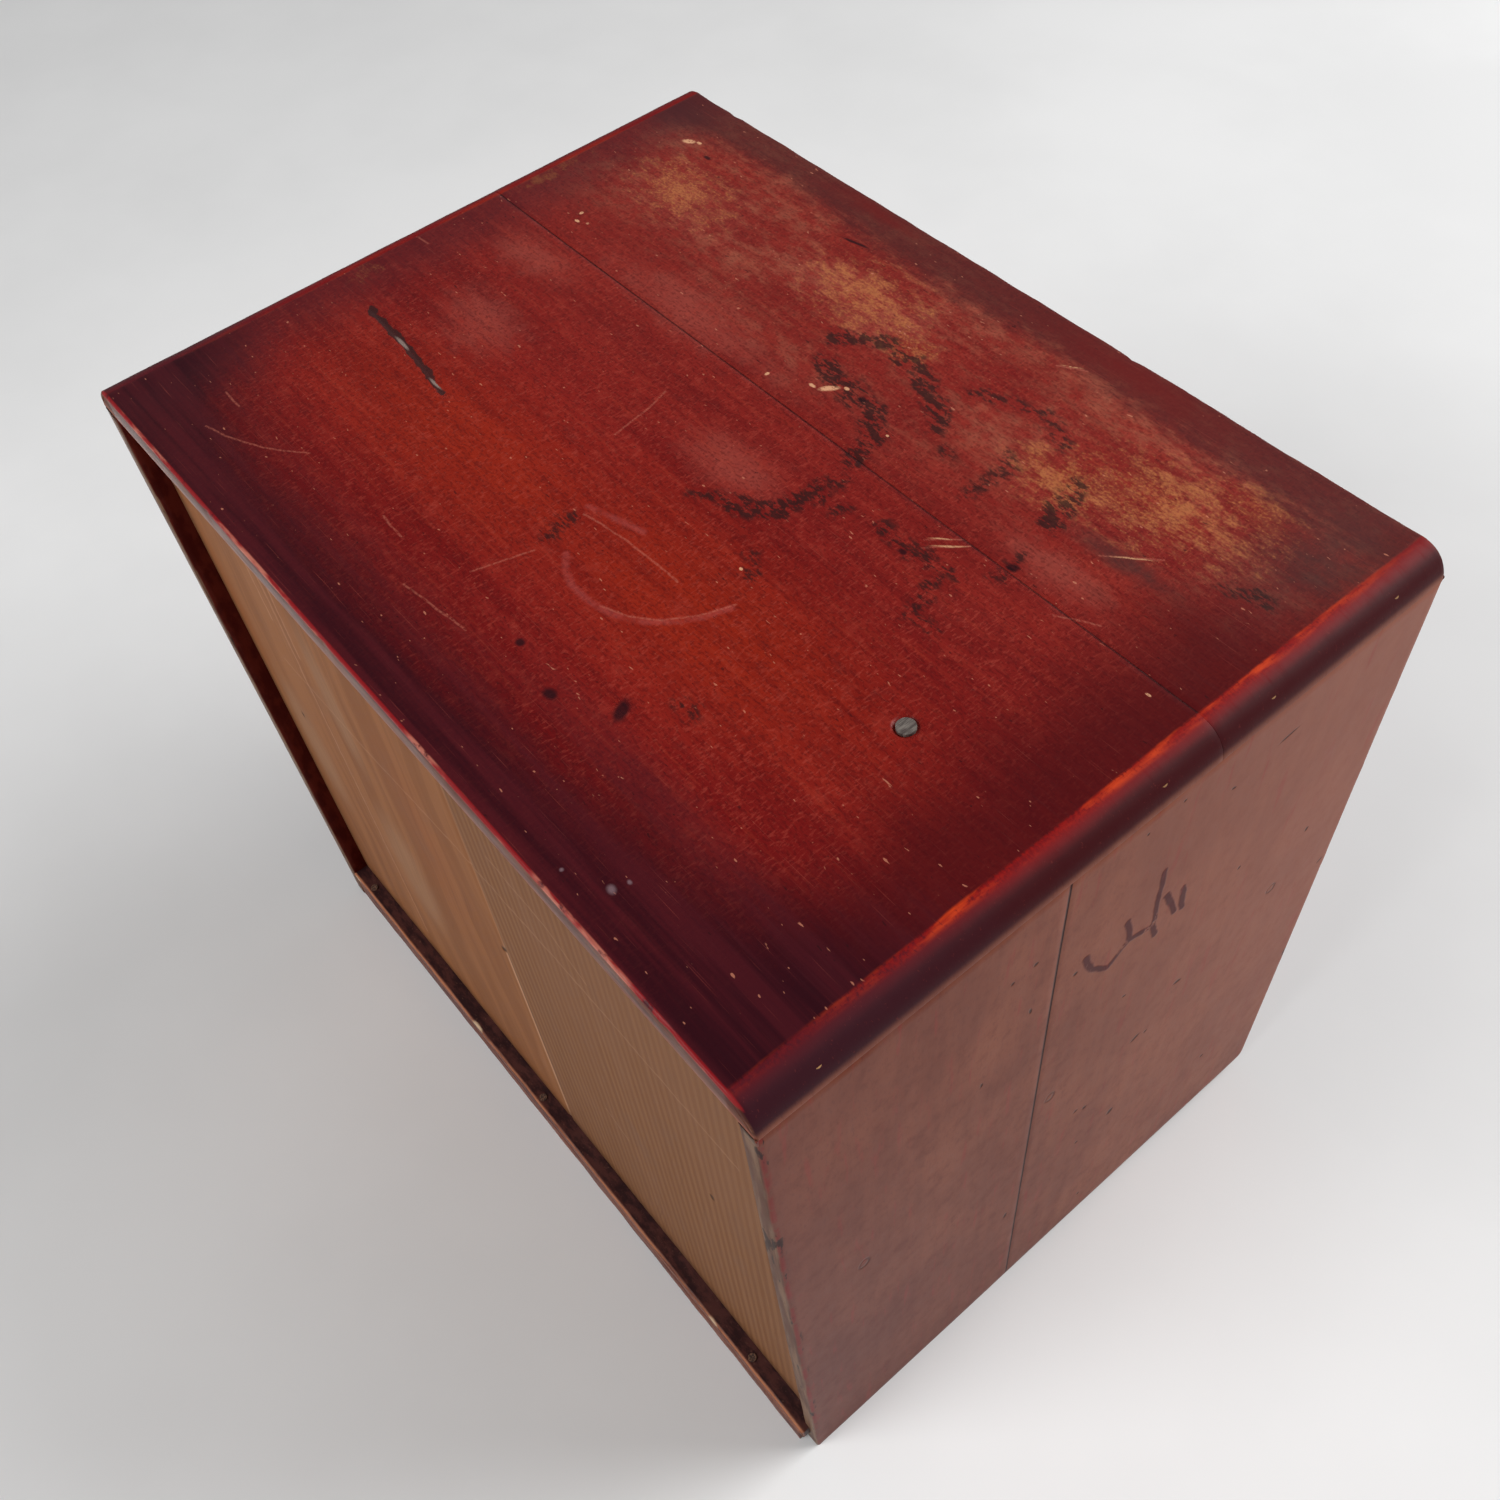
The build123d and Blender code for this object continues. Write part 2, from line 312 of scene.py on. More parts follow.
def side_tone(g, mottle):
    """Colour of the sides, without their marks, and its height."""
    upright = g.noise((5, 6, 80), 4, 0.6, shift=12.0)
    cloud = g.noise((50, 45, 70), 3, shift=13.0)
    tone = g.step(upright, 0.3, 0.7) * 0.35 + g.step(cloud, 0.35, 0.65) * 0.65
    # Partly painted reflection: the lacquer's own dark red is paled towards pink-brown, as the pale floor
    # shows in it.
    side = g.mix(tone, srgb(114, 58, 42), srgb(137, 77, 56))
    side = side.coat(g.step(mottle, 0.48, 0.72) * 0.35, 94, 44, 40)
    grime = g.noise((1.4, 1.2, 3), 3, 0.65, shift=14.0)
    side = side.coat(g.step(grime, 0.52, 0.7) * 0.3, 88, 40, 36)
    return side, upright * 0.04


# Marks on the top, as places (x, y) in mm: lines for strokes, ellipses for spots
SMUDGES = (
    ((-39, -60), (-30, -67), (-17, -73), (0, -77), (12, -72), (18, -66)),
    ((-94, -55), (-91, -63), (-88, -70)), ((-31, -31), (-27, -42), (-20, -50), (-3, -52)),
    ((-34, -12), (-32, 2), (-22, 9)), ((2, -52), (10, -55)))
FAINT_SMUDGES = (
    ((-9, 17), (-20, 10)), ((-36, -22), (-33, -14)), ((-50, -53), (-48, -55)), ((-49, 27), (-42, 20)),
    ((-68, -46), (-66, -66)), ((-74, -83), (-58, -88), (-45, -84), (-35, -79)),
    ((-88, -18), (-73, -15)), ((-90, -2), (-86, -12)), ((-69, -14), (-60, -17)),
    ((-46, -12), (-44, -13)), ((-99, -28), (-97, -38)), ((-158, -76), (-147, -72)), ((8, 60), (10, 50)),
    ((-101, 2), (-92, 1)), ((-78, 72), (-73, 71)))
ARCS = (
    ((-54, 38), (-51.5, 46), (-47, 53.5), (-41, 60), (-33, 65), (-23, 67.5), (-14, 67.5), (-7, 65), (-2, 61)),
    ((-11, 38), (10, 44)))
SCRATCHES = (
    ((-54, 36), (-50, 47), (-44, 56), (-36, 62), (-27, 66)), ((-35, 43), (-10, 44), (8, 47)),
    ((12, 87), (6, 67)), ((-7, 101), (6, 103), (22, 105)),
    ((95, 97), (108, 107), (123, 114), (132, 116)), ((-84, -30), (-75, -19)), ((-81, -31), (-73, -22)),
    ((-127, -67), (-113, -55)), ((-54, -113), (-45, -108)), ((31, 18), (33, 4), (36, -7)),
    ((165, 6), (175, 7)), ((133, 103), (143, 103)), ((40, 95), (52, 94)), ((-132, -35), (-120, -28)))
DARK_SPOTS = (
    (-44, 96.5, 3.4, 2.6), (-63, 85, 3.0, 5.6, 35), (-22, 92, 2.2, 2), (-72, -14, 2.2, 1.4),
    (52, -106, 8, 0.9, 10), (-99, -33, 3, 2, 30), (-13, -51, 2.4, 2), (133, -102, 2.5, 1.2))
PALE_SPOTS = (
    (-1, -47, 1.6, 4.4, -38), (4, -44, 1.8, 0.9), (-5, -51, 1.3, 0.8), (136, -42, 1.6, 0.8, 10),
    (132, -44, 0.8, 0.7), (139, -46, 0.9, 1.2), (147, -104, 3.4, 1.8, 28), (143, -106, 1.6, 1),
    (-44, 26, 0.9, 0.7), (-31, -45, 0.8, 0.6), (19, -37, 0.8, 1.2), (-158, -26, 1.2, 0.5))
LONG_NICKS = (
    (-80, -25.5, 7.5, 0.6, 47), (-76, -26, 5, 0.5, 42), (-120.5, -61, 8.5, 0.5, 38),
    (-49, -111, 5, 0.5, 30))
FILLED = ((122, 44, 6, 1.0, -4), (95, 47, 5, 0.9))
GREY_SPOTS = ((-108.5, 122, 2.1, 1.8), (-110, 117, 1.1, 0.9), (-95, 128, 0.9, 0.8))

# Broader places on the top, as ellipses
HEART = ((-48, 46, 124, 46), (58, 56, 130, 42, 3))
MATT_AND_SHEEN = (
    (-4, 0, 40, 20), (112, 16, 40, 24), (62, -40, 90, 22), (24, -86, 60, 28), (118, -80, 56, 34),
    (128, -16, 44, 16), (-110, -42, 46, 14))
DEEP_RED = ((-38, -95, 26, 18, 10), (-130, -70, 5, 12, -30))
BROWNED = ((-160, -98, 34, 36), (168, -112, 26, 20), (-120, -58, 30, 6))
GOLD = (
    (-110, -84, 62, 32, 8), (-84, -70, 34, 22), (26, -88, 46, 28), (-4, -80, 20, 14),
    (122, -82, 46, 28, -6), (169, -52, 6, 30), (166, 33, 9, 10), (-132, -102, 28, 16))
FRONT_RED = ((-66, -122, 66, 12), (60, -124, 40, 6))


def top_patterns(g):
    """The noises, sheets and distances that the layers of the top share."""
    n = SimpleNamespace()
    n.wide = g.noise((100, 34, 60), 3, shift=1.0)
    n.streak = g.noise((170, 7, 60), 4, 0.6, shift=2.0)
    n.brush = g.noise((40, 1.7, 20), 3, 0.6, shift=2.6)
    n.weave = g.noise((1.6, 0.8, 2), 2, 0.5, shift=33.0)
    n.cross = g.noise((0.8, 2.4, 2), 2, 0.6, shift=36.0)
    n.blot = g.noise((8, 3, 8), 3, 0.62, shift=30.0)
    n.patch = g.noise((42, 20, 20), 3, 0.6, shift=34.0)
    n.mottle = g.noise((8, 6, 8), 4, 0.68, shift=4.0)
    n.grit = g.noise((1.3, 0.9, 1.3), 3, 0.65, shift=6.0)
    n.lie = g.noise((26, 0.6, 3), 2, shift=3.0)
    n.flat = g.sheet(g.x, g.y, 3.0)
    n.thin = g.sheet(g.x, g.y, 0.7)
    n.past = g.size(g.x)
    # The front belt: there the lacquer is paled partly by rubbing and grit and partly by painted sheen, and
    # is rougher.
    n.belt = g.step(g.y + (n.wide - 0.5) * 50, -30, -76) * g.step(n.past, 175, 160)
    return n


def top_ground(g, n):
    """Broad colour: an orange heart, a front board paled partly by worn, flat finish and partly by painted
    sheen, and the brushed weave of the lacquer.
    """
    top = g.tones(n.streak * 0.55 + n.wide * 0.45, 0.37, 0.62, (104, 16, 17), (128, 29, 24))
    heart = g.spots(n.flat, HEART, 1.0)
    top = top.coat(heart * (0.2 + n.streak * 0.9), 148, 38, 16)
    # Painted sheen: paler and pinker towards the front, as the key lamp's haze on the lacquer.
    top = top.coat(g.step(g.y, 34, -60) * (0.15 + n.patch * 0.7), 128, 40, 34)
    # Pale patches, mostly in the front half: partly worn, flat finish and partly painted sheen.
    matt_and_sheen = g.spots(n.flat, MATT_AND_SHEEN, 1.0)
    dull_and_sheen = g.step(matt_and_sheen * 0.4 + n.mottle * 0.6 + n.patch * 0.4, 0.56, 0.98)
    top = top.coat(dull_and_sheen * 0.55, 150, 70, 60)
    # Tan patches in the front belt: partly rubbed wear, partly painted sheen.
    rubbed = g.step(n.blot * 0.5 + n.mottle * 0.5 + n.patch * 0.5, 0.66, 0.98)
    top = top.coat(rubbed * n.belt * 0.75, 156, 86, 66)
    top = top.coat(g.spots(n.flat, DEEP_RED, 1.0) * 0.7, 112, 20, 20)
    # Fine layers; the pale grit, stronger in the front belt, is partly painted sheen there.
    for pattern, low, high, share, colour in (
            (n.brush, 0.5, 0.72, 0.3, (80, 13, 15)),
            (n.brush, 0.48, 0.28, 0.22, (156, 56, 38)),
            (n.weave, 0.48, 0.66, 0.42, (70, 12, 14)),
            (n.cross, 0.52, 0.7, 0.12 + n.patch * 0.4, (166, 66, 54)),
            (n.mottle, 0.54, 0.7, 0.22, (76, 14, 18)),
            (n.mottle, 0.46, 0.32, 0.22, (160, 58, 46)),
            (n.grit, 0.58, 0.74, 0.1 + n.belt * 0.3, (176, 92, 66))):
        top = top.coat(g.step(pattern, low, high) * share, *colour)
    return top


def top_patches(g, n, top):
    """Browned corners, rubbed gold places and the darker borders."""
    corner = g.spots(n.flat, BROWNED, 1.0)
    top = top.coat(corner * (0.4 + n.mottle) * 0.8, 64, 40, 38)
    gold = g.spots(n.flat, GOLD, 1.0)
    speck = g.tones(n.grit + (n.patch - 0.5) * 0.8, 0.34, 0.66, (132, 60, 42), (190, 118, 66))
    cover = gold * 0.62 + (n.blot - 0.5) * 1.5 + (n.mottle - 0.5) * 1.3 + (n.grit - 0.5) * 0.8
    top = g.mix(g.step(cover, 0.18, 0.8) * g.step(gold, 0.02, 0.3) * 0.5, top, speck)
    fore = g.y + (n.wide - 0.5) * 18 + (n.blot - 0.5) * 14
    top = top.coat(g.step(fore, -104, -116) * 0.7, 68, 32, 32)
    top = top.coat(g.spots(n.flat, FRONT_RED, 1.0) * 0.6, 104, 22, 22)
    right = g.step(g.x + n.wide * 30 + (n.blot - 0.5) * 16, 150, 186)
    top = top.coat(right * 0.6, 72, 26, 32)
    left = g.step(g.x - n.wide * 36, -138, -182)
    top = top.coat(left * g.step(g.y, -110, -50) * 0.8, 68, 11, 16)
    lift = g.math("POWER", n.past * (1 / SIDE_X), 5.0) * 34 + g.step(g.x, 40, -160) * 8
    back = g.step(g.y + lift + (n.wide - 0.5) * 34 + (n.streak - 0.5) * 46 + (n.blot - 0.5) * 10, 86, 130)
    dark = g.tones(n.streak, 0.4, 0.6, (40, 11, 20), (62, 18, 26))
    return g.mix(back * 0.9, top, dark)


def top_marks(g, n, top):
    """Scratches, smudges, nicks, the filled crack and the seam."""
    arcs = g.strokes(n.thin, ARCS, 1.9, 0.9)
    top = top.coat(arcs * g.step(n.mottle, 0.3, 0.55) * 0.22, 184, 92, 88)
    nicks = g.noise((3.2, 1.3, 3), 1, shift=38.0)
    top = top.coat(g.step(nicks, 0.75, 0.8) * 0.5, 206, 132, 104)
    top = top.coat(g.step(nicks, 0.24, 0.2) * 0.6, 40, 14, 18)
    scratches = g.strokes(n.thin, SCRATCHES, 0.58, 0.8)
    top = top.coat(scratches * g.step(n.grit, 0.3, 0.6) * 0.38, 186, 106, 88)
    hair = g.noise((24, 0.3, 9), 1, shift=17.0)
    top = top.coat(g.step(hair, 0.7, 0.8) * 0.22, 176, 84, 70)
    cross_hair = g.noise((0.3, 15, 9), 1, shift=18.0)
    top = top.coat(g.step(cross_hair, 0.72, 0.8) * 0.3, 52, 14, 18)
    loose = g.sheet(g.x, g.y, 6.0)
    smudges = g.most(g.strokes(loose, SMUDGES, 8.5, 1.0), g.strokes(loose, FAINT_SMUDGES, 7.0, 1.0) * 0.7)
    spatter = g.noise((4.5, 2.0, 4), 3, 0.7, shift=37.0)
    broken = g.step(n.blot * 0.4 + spatter * 0.6, 0.42, 0.58)
    top = top.coat(g.step(smudges * (0.2 + broken), 0.16, 0.85) * 0.82, 38, 23, 23)
    top = top.coat(g.spots(n.thin, DARK_SPOTS, 0.6) * 0.85, 30, 14, 20)
    gritty = g.step(n.grit, 0.3, 0.5)
    top = top.coat(g.spots(n.thin, PALE_SPOTS, 0.5) * gritty * 0.9, 214, 160, 122)
    top = top.coat(g.spots(n.thin, LONG_NICKS, 0.8) * gritty * 0.7, 206, 158, 116)
    top = top.coat(g.spots(n.thin, GREY_SPOTS, 0.8) * 0.6, 132, 108, 114)
    groove = g.strokes(n.flat, (GROOVE,), 2.3, 0.7)
    filler = g.mix(g.spots(n.thin, FILLED, 0.6), srgb(50, 30, 30), srgb(132, 120, 112))
    top = g.mix(g.step(groove + (n.blot - 0.5) * 1.8, 0.4, 0.85) * 0.9, top, filler)
    return top.coat(g.band(g.y, TOP_SEAM_Y, 0.16, 0.4) * (0.3 + n.wide * 0.6), 30, 8, 12)


def top_ends(g, n, top):
    """The rounded ends, dark, with painted purple sheen towards the back and a broken orange line where the
    rounding starts.
    """
    breaks = g.noise((6, 30, 6), 4, 0.65, shift=9.0)
    end = g.mix(g.step(n.past + breaks * 2, END_X + 3.5, END_X + 7.5), srgb(112, 8, 13), srgb(60, 4, 10))
    # Painted sheen: purple towards the back of the rounding.
    end = end.coat(g.step(g.y + n.wide * 60, 60, 140) * 0.7, 52, 20, 31)
    end = end.coat(g.step(n.grit, 0.62, 0.74) * 0.2, 150, 60, 50)
    top = g.mix(g.step(n.past, END_X - 0.3, END_X + 0.4), top, end)
    start = g.step(n.past + breaks * 1.5, END_X - 0.1, END_X + 0.9)
    line = start * g.step(n.past + breaks * 3, END_X + 4.9, END_X + 2.7)
    line = line * (1 - g.step(g.size(g.y + 5), 60, 120) * 0.75) * g.step(n.grit + breaks, 0.75, 1.05)
    bright = g.tones(breaks, 0.44, 0.66, (136, 16, 12), (198, 62, 22))
    return g.mix(line * (0.2 + g.step(g.x, 0, -20) * 0.7), top, bright)


def top_edges(g, n, top):
    """The back and front arrises of the top, and its bare back edge."""
    rear = g.step(g.y, BACK_Y - 1.3, BACK_Y - 0.7) * g.step(g.z, TOP_Z - 2.4, TOP_Z - 1.4)
    pink = g.noise((20, 4, 4), 3, shift=19.0)
    rear_colour = g.tones(pink, 0.5, 0.66, (142, 24, 28), (190, 112, 94))
    top = g.mix(rear * g.step(n.mottle, 0.3, 0.45) * 0.85, top, rear_colour)
    nose = g.step(g.y, FRONT_Y + 1.6, FRONT_Y + 0.4) * g.step(g.z, TOP_Z - 5, TOP_Z - 1)
    top = top.coat(nose * g.step(n.mottle, 0.42, 0.6) * 0.6, 118, 52, 36)
    grain = g.noise((30, 3, 2), 3, shift=16.0)
    bare = g.tones(grain, 0.4, 0.62, (72, 34, 25), (100, 58, 40))
    return g.mix(g.step(g.y, BACK_Y - 0.7, BACK_Y - 0.2) * g.step(g.z, TOP_Z - 1.2, TOP_Z - 2), top, bare)


def top_lacquer():
    """Worn lacquer of the top: orange-red heart, dark back edge, rubbed arrises, scratches and smudges, with
    painted sheen towards the front and on the rounded ends.
    """
    g = Graph("top_lacquer")
    n = top_patterns(g)
    top = top_ground(g, n)
    for layer in (top_patches, top_marks, top_ends, top_edges):
        top = layer(g, n, top)
    side = side_tone(g, n.mottle)[0]
    colour = g.mix(g.step(g.z, SIDE_TOP_Z + 4, SIDE_TOP_Z + 0.6), top, side)
    shine = 0.27 + n.mottle * 0.1 + g.step(n.lie, 0.5, 0.75) * 0.1 + n.belt * 0.12
    shine = shine + g.step(n.past, END_X - 1, END_X + 1) * 0.2
    height = n.wide * 0.25 + n.mottle * 0.035 + n.lie * 0.012
    return g.done(colour, shine, height, specular=0.12)


# Marks on the left side, as places (y, z) in mm
DRIPS = (
    ((14, 268), (10, 256), (2, 247), (-7, 254), (-18, 250), (-21, 241)), ((-18, 250), (-17, 283)),
    ((-22, 264), (-29, 246)), ((-4, 269), (-7, 254)), ((-30, 259), (-33, 244)))
SIDE_DENTS = (
    (-45, 180, 3, 1.5, 20), (-27, 159, 3.4, 1.6, -30), (-33, 157, 1.5, 1.2), (0, 136, 1.6, 1.4),
    (-5, 132, 1.7, 1.5), (-24, 99, 2.6, 2.8), (-6, 98, 1.3, 1.5), (32, 86, 1.5, 3.2),
    (-102, 219, 1.3, 1.6), (38, 293, 1.2, 1.4), (47, 293, 1.1, 1.4), (-3, 317, 0.9, 1),
    (-17, 319, 0.9, 1), (-65, 306, 6, 0.9, -8), (-124, 176, 2.6, 0.7, -35), (-42, 301, 1.6, 0.8, 30),
    (-12, 211, 1.6, 0.9, 30), (18, 263, 1.6, 1.3), (-62, 237, 1.2, 1.2), (-127, 103, 1.6, 4),
    (37, 264, 1, 2.2), (55, 239, 0.9, 2.2), (-87, 61, 1.5, 1.2), (-17, 23, 1, 1.4))
SIDE_RINGS = ((103, 173, 3.4, 4.6), (18, 176, 3.2, 4.0), (-92, 191, 3.0, 3.4))


def side_marks(g, side, height, mottle):
    """Drips, dents and rings of the left side, in its colour and its height."""
    on_left = g.step(g.x, 1 - SIDE_X, 0.3 - SIDE_X)
    wall = g.sheet(g.y, g.z, 1.4)
    drips = g.strokes(wall, DRIPS, 1.9, 0.6) * on_left * g.step(mottle, 0.3, 0.42)
    side = side.coat(drips * 0.95, 74, 10, 12)
    dents = g.spots(wall, SIDE_DENTS, 0.7) * on_left
    for u, v, half_u, half_v in SIDE_RINGS:
        outer = g.spots(wall, ((u, v, half_u, half_v),), 0.4)
        inner = g.spots(wall, ((u + 0.4, v + 0.4, half_u * 0.7, half_v * 0.7),), 0.6)
        dents = g.most(dents, outer * (1 - inner) * on_left * 0.7)
    side = side.coat(dents * 0.85, 38, 14, 16)
    return side, height + drips * 0.12 - dents * 0.25


def side_edges(g, side, mottle):
    """The worn back edge with its chips, and the front arris."""
    wear = g.noise((3, 3, 40), 4, 0.6, shift=15.0)
    worn = g.tones(wear, 0.4, 0.6, (80, 54, 42), (114, 89, 70))
    turned = g.step(g.size(g.x), SIDE_X - 0.1, SIDE_X - 0.8)
    above = g.math("MAXIMUM", 1 - g.z * (1 / SIDE_TOP_Z), 0.0)
    tapered = g.math("POWER", above, 1.3) * FOOT_LEAN
    from_back = g.y + g.step(g.x, 0, -1) * tapered
    side = g.mix(g.step(from_back, BACK_Y - 1.6, BACK_Y - 0.8) * turned * 0.9, side, worn)
    rim = g.step(from_back, BACK_Y - 2.4, BACK_Y - 1.4) * g.step(mottle, 0.4, 0.52)
    side = side.coat(rim * (1 - turned) * 0.6, 132, 34, 36)
    holes = g.step(g.noise((4, 4, 16), 3, 0.6, shift=23.0), 0.6, 0.66)
    chipped = g.step(from_back, BACK_Y - 3.6, BACK_Y - 1.8) * holes
    side = side.coat(chipped * 0.85, 30, 14, 16)
    front = g.step(g.y, FRONT_Y + 2.2, FRONT_Y + 0.8) * g.step(mottle, 0.42, 0.6)
    return side.coat(front * 0.35, 118, 50, 38)


def side_lacquer():
    """Semi-gloss lacquer of the sides, with drips, dents and worn arrises; the pale floor's reflection and
    the shade at the foot are painted into its colour.
    """
    g = Graph("side_lacquer")
    mottle = g.noise((8, 6, 8), 4, 0.68, shift=4.0)
    side, height = side_tone(g, mottle)
    # Painted reflection of the floor: darker towards the back and the bottom, paler towards the front and the
    # top.
    side = side.coat(g.step(g.y - g.z * 0.25, -20, 110) * 0.5, 88, 42, 40)
    side = side.coat(g.step(g.y - g.z * 0.4, -20, -230) * 0.55, 158, 98, 80)
    side, height = side_marks(g, side, height + mottle * 0.035, mottle)
    red = g.noise((3, 3, 30), 3, 0.6, shift=21.0)
    side = side.coat(g.step(red, 0.58, 0.72) * 0.3, 146, 40, 42)
    lean = g.y - SIDE_SEAM_Y - (g.z - SIDE_MIDDLE_Z) * (SIDE_SEAM_LEAN / SIDE_MIDDLE_Z)
    side = side.coat(g.band(lean, 0.0, 0.3, 0.4) * 0.9, 38, 13, 15)
    # Painted contact shade: darker within a few mm of the floor.
    side = side.coat(g.step(g.z + mottle * 8, 7, 3) * 0.4, 64, 30, 28)
    side = side_edges(g, side, mottle)
    return g.done(side, 0.32 + mottle * 0.14, height, specular=0.04)


def recess_lacquer():
    """Plain lacquer of the walls beside the panel."""
    g = Graph("recess_lacquer")
    mottle = g.noise((6, 5, 12), 4, 0.6, shift=14.0)
    colour = g.tones(mottle, 0.4, 0.6, (66, 11, 5), (84, 24, 14))
    return g.done(colour, 0.4 + mottle * 0.15, mottle * 0.1, specular=0.05)


def front_lacquer():
    """Drawer fronts and rails: the same lacquer, rubbed bare round the pulls and along the edges."""
    g = Graph("front_lacquer")
    x, y, z = g.x, g.y, g.z
    wide = g.noise((140, 60, 30), 3, shift=31.0)
    streak = g.noise((160, 60, 5), 4, shift=32.0)
    fine = g.noise((60, 4, 0.8), 3, shift=33.0)
    mottle = g.noise((6, 6, 5), 4, 0.6, shift=34.0)
    grit = g.noise((1.5, 1.5, 1.1), 3, 0.6, shift=35.0)
    tone = g.step(wide, 0.35, 0.65) * 0.5 + g.step(streak, 0.35, 0.68) * 0.5
    face = g.mix(tone, srgb(76, 18, 20), srgb(116, 31, 26))
    face = face.coat(g.step(mottle, 0.5, 0.72) * 0.4, 60, 20, 22)
    wall = g.sheet(x, z, 2.5)
    rub = g.spots(wall, [(bx, bz - 16, 36, 15) for bx, bz in PULLS.values()], 0.8)
    face = face.coat(rub * g.step(grit + mottle * 0.5, 0.66, 0.9) * 0.6, 58, 26, 24)
    arcs = g.spots(wall, [(bx, bz - 26, 30, 2.2) for bx, bz in PULLS.values()], 0.8)
    face = face.coat(arcs * g.step(grit, 0.45, 0.6) * 0.6, 166, 96, 66)
    edge_wear = None
    for low, high in FRONT_BOXES:
        near_x = g.math("MINIMUM", x - low[0], high[0] - x)
        near_z = g.math("MINIMUM", z - low[2], high[2] - z)
        within = g.math("MINIMUM", near_x, near_z)
        here = g.step(within, 1.6, 0.4) * g.step(within, -0.6, -0.2)
        edge_wear = here if edge_wear is None else g.most(edge_wear, here)
    face = face.coat(edge_wear * g.step(mottle, 0.42, 0.56) * 0.65, 160, 66, 40)
    wood = bare_wood(g, 0, srgb(186, 148, 106), srgb(150, 108, 72), 40.0)[0]
    behind = g.step(y, -125.5, -124.0)
    colour = g.mix(behind, face, wood)
    shine = 0.27 + mottle * 0.12 + g.step(fine, 0.5, 0.75) * 0.1 + rub * 0.1 + behind * 0.3
    height = fine * 0.02 + mottle * 0.03 + wide * 0.2 - g.step(grit, 0.66, 0.8) * 0.04
    return g.done(colour, shine, height, specular=0.35)


LEDGE_CHIPS = ((173, 17, 3.5, 2.5), (60, 19, 5, 1.6), (-120, 18.5, 4, 1.8))


def ledge_lacquer():
    """Bottom board and rails: dark mottled lacquer, its outer arris rubbed to orange and bare wood."""
    g = Graph("ledge_lacquer")
    x, y, z = g.x, g.y, g.z
    mottle = g.noise((9, 4, 4), 4, 0.65, shift=51.0)
    grit = g.noise((1.6, 1.2, 1.2), 3, 0.6, shift=52.0)
    along = g.noise((50, 6, 5), 3, shift=53.0)
    dark = g.tones(mottle, 0.38, 0.62, (44, 20, 22), (76, 40, 36))
    dark = dark.coat(g.step(grit, 0.6, 0.75) * 0.4, 122, 86, 70)
    face = g.tones(along, 0.35, 0.65, (78, 34, 28), (118, 66, 46))
    face = face.coat(g.step(mottle, 0.5, 0.66) * 0.6, 60, 28, 26)
    outer = g.step(y + (mottle - 0.5) * 2.0, 133.4, 134.4)
    colour = g.mix(outer, dark, face)
    rim = g.step(y, 133.9, 134.9) * g.step(z, 17.5, 19.2)
    colour = colour.coat(rim * g.step(along + mottle * 0.5, 0.5, 0.8) * 0.9, 168, 104, 68)
    chips = g.spots(g.sheet(x, z, 1.0), LEDGE_CHIPS, 0.5)
    colour = colour.coat(chips * outer, 184, 156, 126)
    wood, grain_height = bare_wood(g, 0, srgb(182, 144, 104), srgb(146, 106, 72), 55.0)
    colour = g.mix(g.step(y, 122.5, 121.5), colour, wood)
    front = g.tones(along, 0.35, 0.65, (76, 18, 20), (112, 32, 27))
    colour = g.mix(g.step(y, -125.0, -126.0), colour, front)
    height = mottle * 0.15 + grit * 0.05 + grain_height * 0.3
    return g.done(colour, 0.42 + mottle * 0.2, height, specular=0.22)


# Marks on the panel, as places (x, z) in mm
PALE_FLAMES = ((80, 124, 26, 62, 2), (84, 240, 13, 60), (150, 150, 22, 60))
WARM_FLAMES = ((35, 200, 34, 110), (166, 230, 14, 80))
PALE_LINES = (((107, 320), (108, 180), (107, 40)), ((116, 320), (116, 260)), ((100, 320), (101, 250)))
KNOTS = ((-134, 176.5, 1.7, 3), (-9.5, 178, 2.2, 3), (146, 173.5, 2.4, 2.8, 30))
PANEL_SCRATCHES = (
    ((-155, 244), (-60, 243), (5, 239)), ((5, 239), (60, 230), (128, 226)),
    ((-82, 253), (-65, 264), (-32, 268)), ((-60, 120), (-72, 112)))


